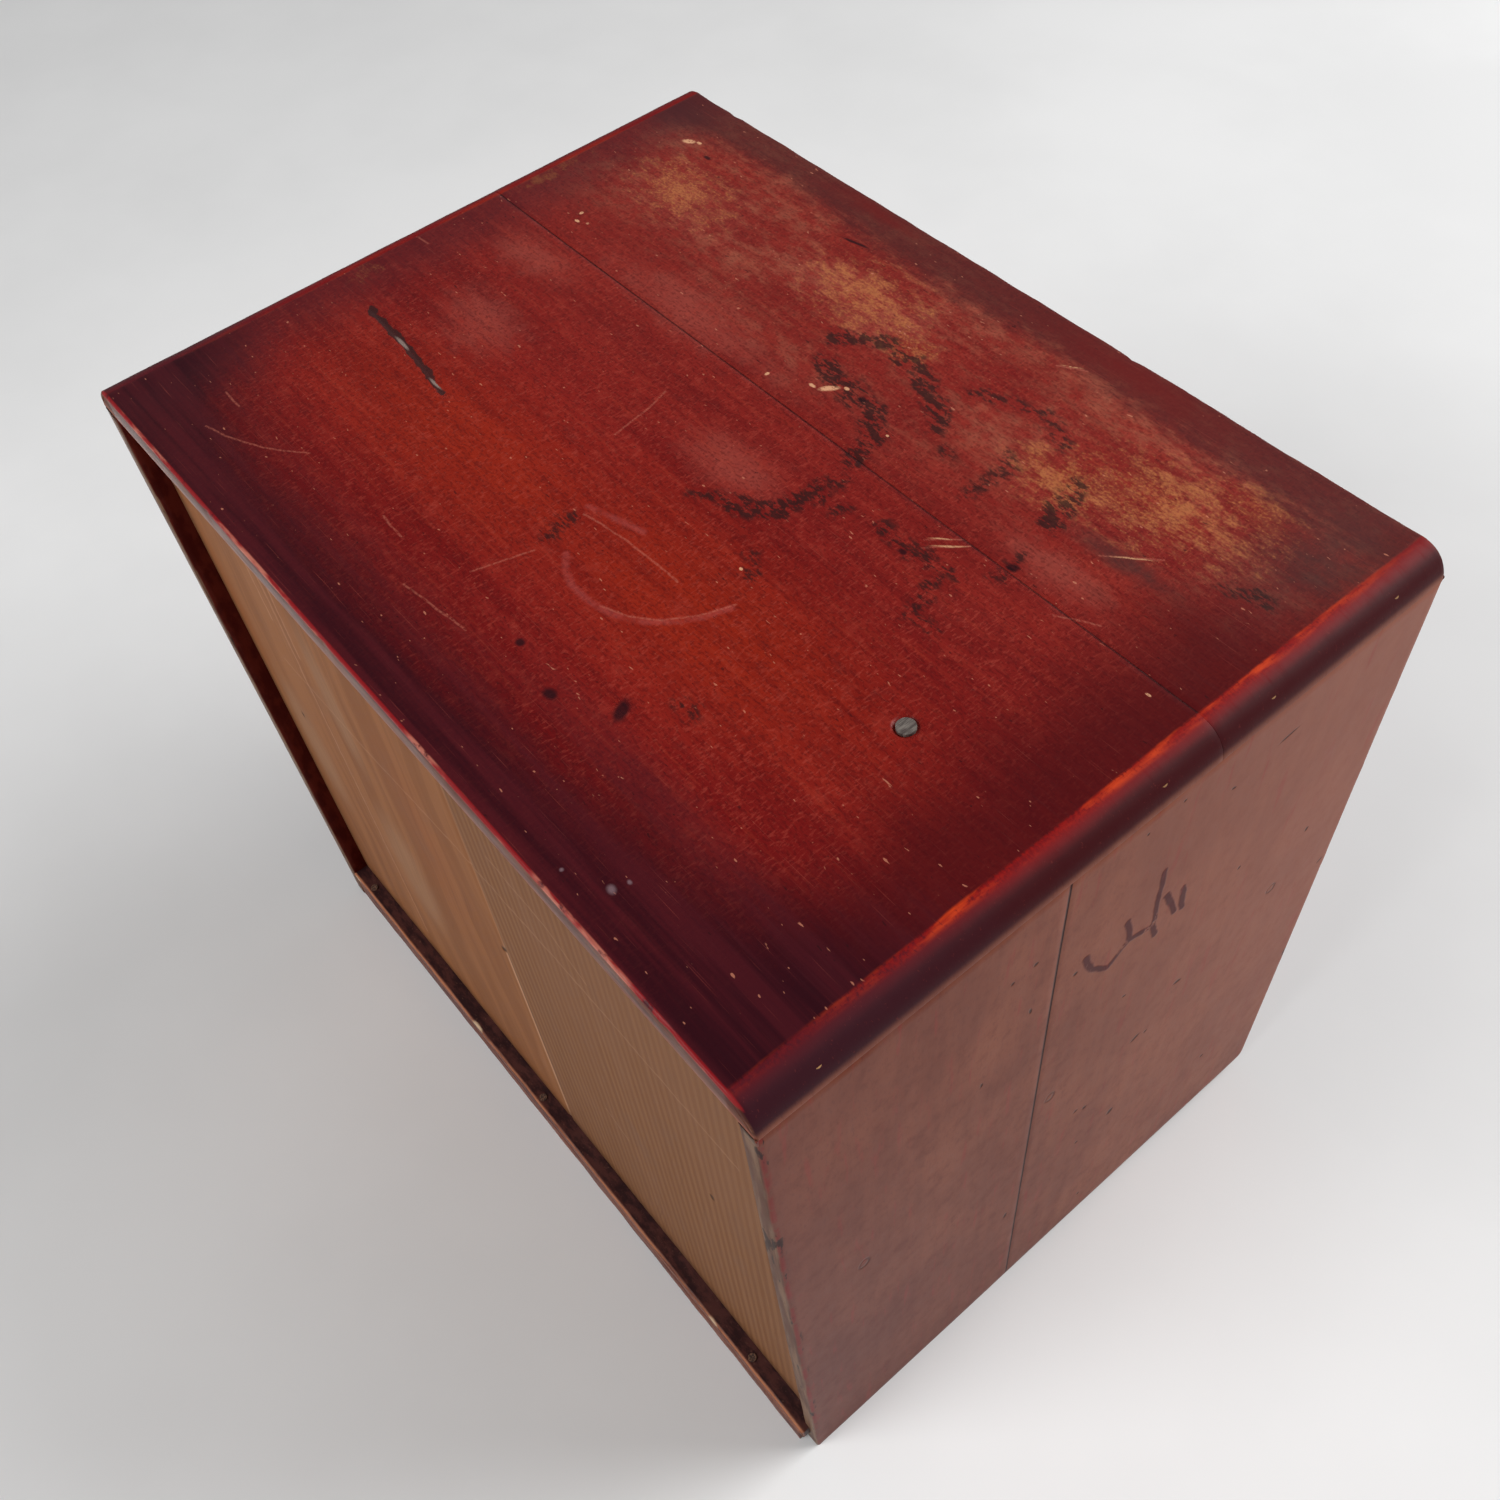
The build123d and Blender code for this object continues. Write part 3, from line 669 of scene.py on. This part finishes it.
def cedar():
    """Bare back panel: a flamed board and a straight-grained one, with painted shade near the walls of the
    recess.
    """
    g = Graph("cedar_panel")
    x, y, z = g.x, g.y, g.z
    seam_x = SEAM_FOOT_X - z * SEAM_SLOPE
    straight = g.step(x - seam_x, 0.15, -0.15)
    sway = g.noise((60, 45, 190), 2, shift=61.0)
    bent = g.vector(x + (sway - 0.5) * 46, y, z)
    flame = g.noise((9, 30, 260), 3, shift=63.0, at=bent)
    fine = g.noise((1.2, 30, 120), 2, shift=64.0, at=bent)
    stretch = g.noise((14, 30, 500), 2, shift=65.0)
    lines = g.math("SINE", x * (2 * math.pi / LINE_PITCH) + stretch * 7.0) * 0.5 + 0.5
    zones = g.noise((40, 30, 210), 3, shift=67.0)
    stain = g.noise((26, 30, 44), 4, 0.6, shift=68.0)
    flat = g.sheet(x, z, 2.0)
    flamed = g.tones(flame, 0.36, 0.64, (119, 73, 41), (133, 85, 50))
    pale = g.spots(flat, PALE_FLAMES, 0.7)
    flamed = flamed.coat(pale * 0.6, 140, 103, 76)
    flamed = flamed.coat(g.spots(flat, WARM_FLAMES, 1.0) * 0.45, 126, 70, 36)
    flamed = flamed.coat(g.strokes(flat, PALE_LINES, 1.6, 0.9) * 0.45, 168, 124, 96)
    plain = g.mix(g.step(lines, 0.1, 0.9) * (0.2 + stretch), srgb(108, 69, 41), srgb(126, 86, 56))
    plain = plain.coat(g.step(zones, 0.4, 0.62) * 0.4, 120, 82, 58)
    colour = g.mix(straight, flamed, plain)
    colour = colour.coat(g.step(fine, 0.52, 0.74) * 0.3, 88, 54, 34)
    colour = colour.coat(g.step(stain, 0.52, 0.75) * 0.3, 112, 82, 66)
    joint = g.band(x - seam_x, 0.0, 0.5, 0.7)
    colour = colour.coat(joint * (0.25 + g.step(z, 190, 170) * 0.5), 178, 140, 112)
    knots = g.spots(flat, KNOTS, 0.8)
    colour = colour.coat(knots * 0.85, 48, 28, 16)
    scratch = g.strokes(flat, PANEL_SCRATCHES, 1.2, 0.9)
    colour = colour.coat(scratch * 0.22, 176, 136, 108)
    # Painted shade: darker near the walls of the recess, under the top board and along the ledge.
    rim = g.most(g.step(g.size(x), 166, 175), g.most(g.step(z, 32, 20), g.step(z, 315, 325)))
    colour = colour.coat(rim * 0.45, 66, 42, 30)
    height = flame * 0.1 + lines * straight * 0.05 + fine * 0.04 - knots * 0.5
    return g.done(colour, 0.6 + stain * 0.15, height, specular=0.12)


def iron():
    """Blackened, forged iron with some rust."""
    g = Graph("iron")
    mottle = g.noise((5, 5, 5), 4, 0.6, shift=71.0)
    grit = g.noise((0.9, 0.9, 0.9), 3, 0.6, shift=72.0)
    colour = g.tones(mottle, 0.4, 0.65, (44, 40, 38), (74, 66, 60))
    colour = colour.coat(g.step(grit + mottle * 0.6, 0.84, 1.0) * 0.7, 112, 66, 42)
    return g.done(colour, 0.44 + mottle * 0.25, mottle * 0.12 + grit * 0.05, 0.5, 0.75)


def nail_iron():
    """Dull, rusty nail heads."""
    g = Graph("nail_iron")
    grit = g.noise((0.8, 0.8, 0.8), 4, 0.6, shift=75.0)
    colour = g.tones(grit, 0.4, 0.62, (62, 48, 44), (128, 92, 72))
    return g.done(colour, 0.6, grit * 0.15, 0.4, 0.3)


def plug_wood():
    """Grey end grain."""
    g = Graph("plug_wood")
    grain = g.noise((0.5, 4, 4), 3, shift=81.0)
    cloud = g.noise((3, 3, 3), 3, shift=82.0)
    colour = g.tones(grain, 0.35, 0.65, (70, 62, 58), (116, 108, 101))
    colour = colour.coat(g.step(cloud, 0.5, 0.7) * 0.5, 70, 56, 54)
    return g.done(colour, 0.6, grain * 0.1, 0.35)


def floor_paint():
    """Pale ground that fades into the backdrop far from the chest."""
    g = Graph("floor")
    cloud = g.noise((260, 260, 260), 4, shift=91.0)
    g.done(g.tones(cloud, 0.3, 0.7, (228, 228, 228), (235, 235, 235)), 0.75, None, 0.3)
    light_path = g.nodes.new("ShaderNodeLightPath")
    glow = g.nodes.new("ShaderNodeEmission")
    glow.inputs["Color"].default_value = BACKDROP
    both = g.nodes.new("ShaderNodeMixShader")
    away = g.math("SQRT", g.x * g.x + g.y * g.y)
    g.put(both.inputs[0], g.step(away, 900, 3000) * Val(g, light_path.outputs["Is Camera Ray"]))
    g.links.new(g.shader.outputs[0], both.inputs[1])
    g.links.new(glow.outputs[0], both.inputs[2])
    g.links.new(both.outputs[0], g.nodes["Material Output"].inputs["Surface"])
    return g.material


# Mesh helpers

def spaced(low, high, step, dense=()):
    """Places from low to high about step apart, closer round (middle, half, step) of dense."""
    count = max(1, round((high - low) / step))
    places = [low + (high - low) * i / count for i in range(count + 1)]
    for middle, half, fine in dense:
        places = [p for p in places if abs(p - middle) > half]
        reach = int(half / fine)
        places += [middle + i * fine for i in range(-reach, reach + 1)]
    return sorted(p for p in places if low <= p <= high)


def arris(radius):
    """How much of the wear an arris of this radius takes."""
    return 0.3 if radius > 5 else min(1, radius)


def eased(low, high, radii, inner, steps):
    """Points across a board, rounded at both ends: (place, inset, normal along, normal out, edge weight)."""
    first, last = radii
    start = []
    finish = []
    for i in range(steps + 1):
        a = math.radians(90 * i / steps)
        along, out, edge = math.cos(a), math.sin(a), math.sin(2 * a)
        start.append((low + first * (1 - along), first * (1 - out), -along, out, edge * arris(first)))
        finish.append((high - last * (1 - along), last * (1 - out), along, out, edge * arris(last)))
    return start + [(place, 0.0, 0.0, 1.0, 0.0) for place in inner] + finish[::-1]


def skin(rows, count, base=0, closed=False):
    """Faces between rows of points that each go round."""
    faces = []
    for i in range(rows if closed else rows - 1):
        row = base + i * count
        following = base + (i + 1) % rows * count
        for k in range(count):
            n = (k + 1) % count
            faces.append((row + k, row + n, following + n, following + k))
    return faces


def rub(place, depth):
    """How far an arris is worn back at a place, in mm."""
    broad = noise.noise(place / 14.0)
    small = noise.noise(place / 4.0 + Vector((9, 3, 5)))
    return depth * max(0.0, 0.45 + broad * 0.9 + small * 0.35)


def slab(name, box, axes, radii, ends, steps, material, shape, wear, dense=((), ()), arc=4):
    """A board of the case: a closed mesh with eased, worn arrises.

    axes are the numbers of the axis along, through and across it. radii are those of the long arrises
    on the low and the high face, ends those at the two ends. dense says where the mesh is finer.
    """
    low, high = box
    along, thick, across = axes
    spare = [max(radii[0][i], radii[1][i]) + 0.2 for i in range(2)]
    inner = [p for p in spaced(low[along], high[along], steps[0], dense[0])
             if low[along] + spare[0] < p < high[along] - spare[1]]
    upper = [(s, high[thick] - inset, ns, out, weight)
             for s, inset, ns, out, weight in eased(low[along], high[along], radii[1], inner, arc)]
    lower = [(s, low[thick] + inset, ns, -out, weight)
             for s, inset, ns, out, weight in eased(low[along], high[along], radii[0], inner, arc)]
    ring = upper + lower[::-1]
    inner = [p for p in spaced(low[across], high[across], steps[1], dense[1])
             if low[across] + ends[0] + 0.2 < p < high[across] - ends[1] - 0.2]
    stations = eased(low[across], high[across], ends, inner, 4)
    points = []
    for place, inset, push, _, end_weight in stations:
        for s, t, ns, nt, weight in ring:
            p = Vector((0, 0, 0))
            p[along] = s - ns * inset
            p[thick] = t - nt * inset
            p[across] = place
            edge = max(weight, end_weight)
            if edge > 0:
                normal = Vector((0, 0, 0))
                normal[along] = ns
                normal[thick] = nt
                normal[across] = push
                p -= normal.normalized() * rub(p, wear * edge)
            points.append(shape(p))
    count = len(ring)
    faces = skin(len(stations), count)
    for j in (0, len(stations) - 1):
        for i in range(len(upper) - 1):
            faces.append((j * count + i, j * count + i + 1, (j + 1) * count - 2 - i, (j + 1) * count - 1 - i))
    return piece(name + "_worn", points, faces, material, "case", name)


def stand(name, data):
    """Puts an object for the data into the scene."""
    obj = bpy.data.objects.new(name, data)
    bpy.context.scene.collection.objects.link(obj)
    return obj


def piece(name, points, faces, material, body, node):
    """A mesh object from points in mm, with its body, its material and the node it stands for."""
    mesh = bpy.data.meshes.new(name)
    mesh.from_pydata([tuple(p * MM) for p in points], [], faces)
    bm = bmesh.new()
    bm.from_mesh(mesh)
    bmesh.ops.recalc_face_normals(bm, faces=bm.faces)
    bm.to_mesh(mesh)
    bm.free()
    for polygon in mesh.polygons:
        polygon.use_smooth = True
    obj = stand(name, mesh)
    mesh.materials.append(material)
    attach(obj, body)
    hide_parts(node)
    return obj


def line_inside(obj, wood):
    """Bare wood inside the case and plain lacquer on the walls of the recess."""
    obj.data.materials.append(wood)
    obj.data.materials.append(WALL)
    for polygon in obj.data.polygons:
        middle = polygon.center / MM
        if abs(middle.x) < INNER_X + 0.35 and middle.z < SIDE_TOP_Z + 0.4:
            polygon.material_index = 1 if FRONT_Y + 2 < middle.y < LINING_Y else 2


def box_mm(node):
    """The two corners of a node's box, in mm."""
    low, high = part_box(node)
    return low / MM, high / MM


def distance_to_line(u, v, line):
    """How far a place is from a line through points."""
    best = 1e9
    here = Vector((u, v))
    for start, end in zip(line, line[1:]):
        a = Vector(start)
        run = Vector(end) - a
        t = max(0.0, min(1.0, (here - a).dot(run) / run.length_squared))
        best = min(best, (here - a - run * t).length)
    return best


def fall(distance, radius):
    """1 at the middle of a dent, 0 at its rim."""
    t = max(0.0, 1.0 - distance / radius)
    return t * t * (3 - 2 * t)


# Shapes of the boards

def shape_top(p):
    """Waves, dents, the groove, chipped arrises and the sunk place of the plug."""
    if p.z > 330:
        wave = noise.noise(Vector((p.x / 90, p.y / 60, 4.0)))
        depth = (0.22 + 0.22 * wave) * min(1.0, max(0.0, (172 - abs(p.x)) / 8))
        if abs(p.y - TOP_SEAM_Y) < 2:
            depth += 0.08 * fall(abs(p.y - TOP_SEAM_Y), 2)
        for u, v, radius in DENTS:
            depth += 0.7 * fall(math.hypot(p.x - u, p.y - v), radius)
        if p.x > 84 and 34 < p.y < 54:
            depth += 0.5 * fall(distance_to_line(p.x, p.y, GROOVE), 1.8)
        from_plug = math.hypot(p.x - PLUG[0], p.y - PLUG[1])
        if from_plug < PLUG_RADIUS + 1.2:
            depth += 0.9 * min(1.0, (PLUG_RADIUS + 1.2 - from_plug) / 0.9)
        p.z -= depth
    for u, v, radius in EDGE_CHIPS:
        near = fall((Vector((p.x, p.y, p.z)) - Vector((u, v, TOP_Z - 1))).length, radius)
        if near > 0:
            p.z -= near * 0.4
            p.x -= near * 0.2 * (1 if u > 170 else -1 if u < -170 else 0)
            p.y -= near * 0.35 * (1 if v > 130 else -1 if v < -125 else 0)
    return p


def shape_side(p):
    """The leaning seam, the worn back foot, the rounded front foot and slight waves."""
    height = p.z / SIDE_TOP_Z
    seam_shift = SIDE_SEAM_LEAN * (2 * height - 1)
    if p.y > SIDE_SEAM_Y:
        share = (BACK_Y - p.y) / (BACK_Y - SIDE_SEAM_Y)
    else:
        share = (p.y - FRONT_Y) / (SIDE_SEAM_Y - FRONT_Y)
    p.y += seam_shift * share
    if p.x < 0 and p.y > 70:
        p.y -= FOOT_LEAN * (1 - height) ** 1.3 * (p.y - 70) / (BACK_Y - 70)
    if p.x < 0 and p.z < 60:
        p.z += FOOT_RISE * (1 - p.z / 60) * max(0.0, (100 - p.y) / (100 - FRONT_Y))
    bottom = FOOT_ROUND + (FOOT_RISE if p.x < 0 else 0.0)
    if p.z < bottom and p.y < FRONT_Y + FOOT_ROUND:
        centre = Vector((FRONT_Y + FOOT_ROUND, bottom))
        away = Vector((p.y, p.z)) - centre
        reach = max(abs(away.x), abs(away.y))
        if reach > 0:
            away = away.normalized() * reach
            p.y, p.z = centre.x + away.x, centre.y + away.y
    if abs(p.x) > SIDE_X - 3.5:
        wave = noise.noise(Vector((p.x / 50, p.y / 70, p.z / 110)))
        amount = (0.15 + 0.15 * wave) * min(1.0, (SIDE_TOP_Z - p.z) / 40.0)
        p.x -= math.copysign(max(0.0, amount), p.x)
    return p


def shape_back(p):
    """Slight cupping of the panel boards."""
    cup = noise.noise(Vector((p.x / 60, 2.0, p.z / 160)))
    near_seam = fall(abs(p.x - BACK_SEAM_X), 1.6)
    shift = SEAM_FOOT_X - p.z * SEAM_SLOPE - BACK_SEAM_X
    p.x += shift * max(0.0, 1 - abs(p.x - BACK_SEAM_X) / 120)
    if p.y > 124:
        p.y -= 0.25 + 0.25 * cup + 0.5 * near_seam
    return p


def shape_ledge(p):
    """Small waves and chips along the outer arris."""
    if p.y > 120:
        wave = noise.noise(Vector((p.x / 9, p.y / 5, 7.0)))
        p.z -= 0.12 + 0.12 * wave if p.z > 19 else 0.0
        if p.y > 133.5:
            p.y -= 0.25 + 0.25 * noise.noise(Vector((p.x / 14, 3.0, p.z / 6)))
    return p


# Iron

def round_bend(path, radii, steps=6):
    """A line through flat corners, each rounded by its radius."""
    line = [Vector(path[0])]
    for before, corner, after, radius in zip(path, path[1:], path[2:], radii):
        corner = Vector(corner)
        back = (Vector(before) - corner).normalized()
        ahead = (Vector(after) - corner).normalized()
        start = corner + back * radius
        end = corner + ahead * radius
        centre = start + end - corner
        for i in range(steps + 1):
            a = math.radians(90 * i / steps)
            line.append(centre + (start - centre) * math.cos(a) + (end - centre) * math.sin(a))
    line.append(Vector(path[-1]))
    return line


def refined(line, step):
    """The same line with points about step apart."""
    out = [line[0]]
    for a, b in zip(line, line[1:]):
        count = max(1, int((b - a).length / step))
        out += [a + (b - a) * (i + 1) / count for i in range(count)]
    return out


def make_bail(name, middle_x, pivot_z, pivot_y):
    """A hand-forged bail: thickest at the middle of its grip, with small balls at its ends."""
    end, arm, drop = 20.8, 28.9, 25.0
    thin, swell, ball, tip = 1.12, 0.42, 1.5, 0.4
    flat = ((-end, 0), (-arm, 0), (-arm, -drop), (arm, -drop), (arm, 0), (end, 0))
    line = refined(round_bend(flat, (2.6, 9.0, 9.0, 2.6)), 1.6)
    total = sum((b - a).length for a, b in zip(line, line[1:]))
    sides = 20
    points = []
    gone = 0.0
    for i, here in enumerate(line):
        if i:
            gone += (here - line[i - 1]).length
        ahead = (line[min(i + 1, len(line) - 1)] - line[max(i - 1, 0)]).normalized()
        side = Vector((-ahead.y, ahead.x))
        share = gone / total
        radius = thin + swell * math.sin(math.pi * share) ** 1.5
        from_end = min(gone, total - gone)
        if from_end < 2 * ball + 0.1:
            radius = max(radius, ball * math.sqrt(max(0.0, 1 - ((from_end - ball) / (ball + 0.1)) ** 2)))
        if from_end < 1e-6:
            radius = tip
        for k in range(sides):
            a = 2 * math.pi * k / sides
            hammer = 1 - 0.035 * (1 + noise.noise(Vector((gone / 3.0, math.cos(a), math.sin(a) + middle_x))))
            out = side * (math.cos(a) * radius * hammer)
            points.append(Vector((middle_x + here.x + out.x, pivot_y + math.sin(a) * radius * hammer,
                                  pivot_z + here.y + out.y)))
    faces = skin(len(line), sides)
    faces.append(tuple(range(sides)))
    faces.append(tuple(len(points) - sides + k for k in range(sides)))
    piece(name + "_forged", points, faces, IRON, name, name)


def make_washers(name, places, face_y):
    """Domed round washers with a rolled rim and soft petals, from an outline of (radius, rise)."""
    outline = ((1.7, 0.0), (1.7, 0.8), (2.6, 0.98), (4.2, 0.9), (5.6, 0.62), (6.5, 0.5), (7.0, 0.62),
               (7.5, 0.7), (7.85, 0.5), (7.95, 0.2), (7.95, 0.0))
    turns = 72
    petals = 12
    points = []
    faces = []
    for middle_x, middle_z in places:
        base = len(points)
        for radius, rise in outline:
            for k in range(turns):
                a = 2 * math.pi * k / turns
                petal = 0.07 * math.cos(a * petals) * fall(abs(radius - 5.0), 3.4)
                height = max(0.0, rise + petal * (rise > 0))
                points.append(Vector((middle_x + radius * math.cos(a), face_y - height,
                                      middle_z + radius * math.sin(a))))
        faces += skin(len(outline), turns, base, True)
    piece(f"{name}_washers_domed", points, faces, IRON, name, f"{name}_washers")


def ease(node, width, segments=2):
    """Eases the edges of a node that stays as it is."""
    obj = frame["nodes"][node]
    weld = obj.modifiers.new("weld", "WELD")
    weld.merge_threshold = 1e-6
    bevel = obj.modifiers.new("bevel", "BEVEL")
    bevel.width = width * MM
    bevel.segments = segments
    bevel.limit_method = "ANGLE"
    bevel.angle_limit = math.radians(50)


def paint(node, material):
    """Gives a node that stays as it is its material."""
    obj = frame["nodes"][node]
    obj.data.materials.clear()
    obj.data.materials.append(material)


# Pulls and fronts, read from the frame
PULLS = {}
for joint in frame["joints"]:
    if joint["name"].endswith("_swing"):
        spot = [value / MM for value in joint["pos_m"]]
        PULLS[joint["child"]] = (spot[0], spot[2])
        PIVOT_Y = spot[1]
DRAWERS = ("top_left", "top_right", "middle", "bottom")
FRONT_BOXES = [box_mm(f"drawer_{name}_front") for name in DRAWERS]

TOP = top_lacquer()
SIDE = side_lacquer()
WALL = recess_lacquer()
FRONT = front_lacquer()
LEDGE = ledge_lacquer()
CEDAR = cedar()
IRON = iron()
WOOD_X = inner_wood("inner_wood_x", 0, shift=5.0)
WOOD_Y = inner_wood("inner_wood_y", 1, shift=15.0)
WOOD_Z = inner_wood("inner_wood_z", 2, shift=25.0)
PEG = inner_wood("peg_wood", 1, (176, 132, 84), (132, 92, 56), 35.0)

# Case boards
EDGE_WEAR = 0.35
PANEL_WEAR = 0.1
GLUED = 0.12
SQUARE = (0.3, 0.3)
near_plug = (PLUG[0], 6.0, 0.6)
for name, ends, across in (
        ("top_rear_board", (GLUED, 0.8), ((PLUG[1], 6.0, 0.6), (44.0, 7.0, 0.7))),
        ("top_front_board", (1.0, GLUED), ())):
    board = slab(name, box_mm(name), (0, 2, 1), ((0.05, 0.05), (CORNER, CORNER)), ends, (2.4, 2.2), TOP,
                 shape_top, EDGE_WEAR, ((near_plug,), across), 12)
    line_inside(board, WOOD_X)
for side in ("left", "right"):
    for part, ends in (("front", (1.2, 0.08)), ("rear", (0.08, 0.9))):
        name = f"{side}_side_{part}_board"
        low, high = box_mm(name)
        low.z = 0.0
        high.z = SIDE_TOP_Z
        outer = (0.6, 0.05)
        inner = (0.4, 0.05)
        radii = (outer, inner) if side == "left" else (inner, outer)
        board = slab(name, (low, high), (2, 0, 1), radii, ends, (4.0, 3.0), SIDE, shape_side,
                     EDGE_WEAR)
        line_inside(board, WOOD_Z)
for side in ("left", "right"):
    name = f"back_board_{side}"
    slab(name, box_mm(name), (2, 1, 0), (SQUARE, SQUARE), SQUARE, (6.0, 2.0), CEDAR,
         shape_back, PANEL_WEAR)
for name, top_radius in (("bottom_board", 0.9), ("rear_base_rail", 0.3)):
    slab(name, box_mm(name), (0, 2, 1), (SQUARE, SQUARE), (0.4, top_radius), (2.5, 3.0), LEDGE,
         shape_ledge, EDGE_WEAR, ((), ((130, 6, 1.0),)))

# Nodes that keep their shape, with their material and how far their edges are eased
for node, material, width in (
        ("upper_front_rail", FRONT, 0.6), ("lower_front_rail", FRONT, 0.6), ("front_base_rail", FRONT, 0.6),
        ("upper_dust_board", WOOD_X, 0.3), ("lower_dust_board", WOOD_X, 0.3), ("centre_divider", FRONT, 0.5),
        ("base_nails", nail_iron(), 0.25)):
    paint(node, material)
    ease(node, width)
paint("top_plug", plug_wood())
paint("top_dowels", PEG)
for name in DRAWERS:
    body = f"drawer_{name}"
    paint(f"{body}_front", FRONT)
    ease(f"{body}_front", 0.8, 3)
    for part in ("left_side", "right_side", "back", "bottom"):
        paint(f"{body}_{part}", WOOD_Y if part.endswith("side") else WOOD_X)
        ease(f"{body}_{part}", 0.5)
    paint(f"{body}_pegs", PEG)
    paint(f"{body}_pins", IRON)
    ease(f"{body}_pins", 0.3)
    bails = [bail for bail in PULLS if bail.replace("bail_", "").startswith(name)]
    places = [(PULLS[bail][0] + turn * PIN_SPREAD, PULLS[bail][1]) for bail in bails for turn in (-1, 1)]
    make_washers(body, places, WASHER_Y)
    for bail in bails:
        make_bail(bail, *PULLS[bail], PIVOT_Y)

# Floor
floor_mesh = bpy.data.meshes.new("floor")
bm = bmesh.new()
bmesh.ops.create_grid(bm, x_segments=20, y_segments=20, size=6.0)
bm.to_mesh(floor_mesh)
bm.free()
floor_mesh.materials.append(floor_paint())
stand("floor", floor_mesh)


# Light and camera

def lamp(name, place, aim, size, power):
    """A round lamp that looks at a point, in metres and watts."""
    data = bpy.data.lights.new(name, "AREA")
    data.shape = "DISK"
    data.size = size
    data.energy = power
    obj = stand(name, data)
    obj.location = place
    obj.rotation_euler = (Vector(aim) - Vector(place)).to_track_quat("-Z", "Y").to_euler()


lamp("key", (-0.8, -1.7, 1.6), (0, 0, 0.2), 1.7, 54)
lamp("fill", (0.3, 1.9, 1.4), (0, 0.1, 0.15), 1.7, 38)

# The world is brighter towards the horizon, and plain where the camera looks at it
HORIZON = (0.42, 0.42, 0.42, 1)
ZENITH = (0.1, 0.1, 0.1, 1)
world = bpy.data.worlds.new("studio")
bpy.context.scene.world = world
world.use_nodes = True
nodes = world.node_tree.nodes
kinds = ("LightPath", "TexCoord", "SeparateXYZ", "MapRange", "Mix", "Mix")
path, aim, parts, climb, dome, blend = [nodes.new("ShaderNode" + kind) for kind in kinds]
climb.inputs["From Min"].default_value = 0.15
climb.inputs["From Max"].default_value = 0.7
dome.data_type = "RGBA"
dome.inputs[6].default_value = HORIZON
dome.inputs[7].default_value = ZENITH
blend.data_type = "RGBA"
blend.inputs[7].default_value = BACKDROP
for start, end in ((aim.outputs["Generated"], parts.inputs[0]), (parts.outputs["Z"], climb.inputs["Value"]),
                   (climb.outputs["Result"], dome.inputs[0]), (dome.outputs[2], blend.inputs[6]),
                   (path.outputs["Is Camera Ray"], blend.inputs[0]),
                   (blend.outputs[2], nodes["Background"].inputs["Color"])):
    world.node_tree.links.new(start, end)

camera_data = bpy.data.cameras.new("camera")
camera_data.lens = CAMERA_LENS
camera_data.sensor_width = 36.0
camera_data.clip_start = 0.01
camera = stand("camera", camera_data)
camera.location = CAMERA_PLACE
camera.rotation_euler = [math.radians(a) for a in CAMERA_TURN]
bpy.context.scene.camera = camera
bpy.context.scene.view_settings.view_transform = "Standard"
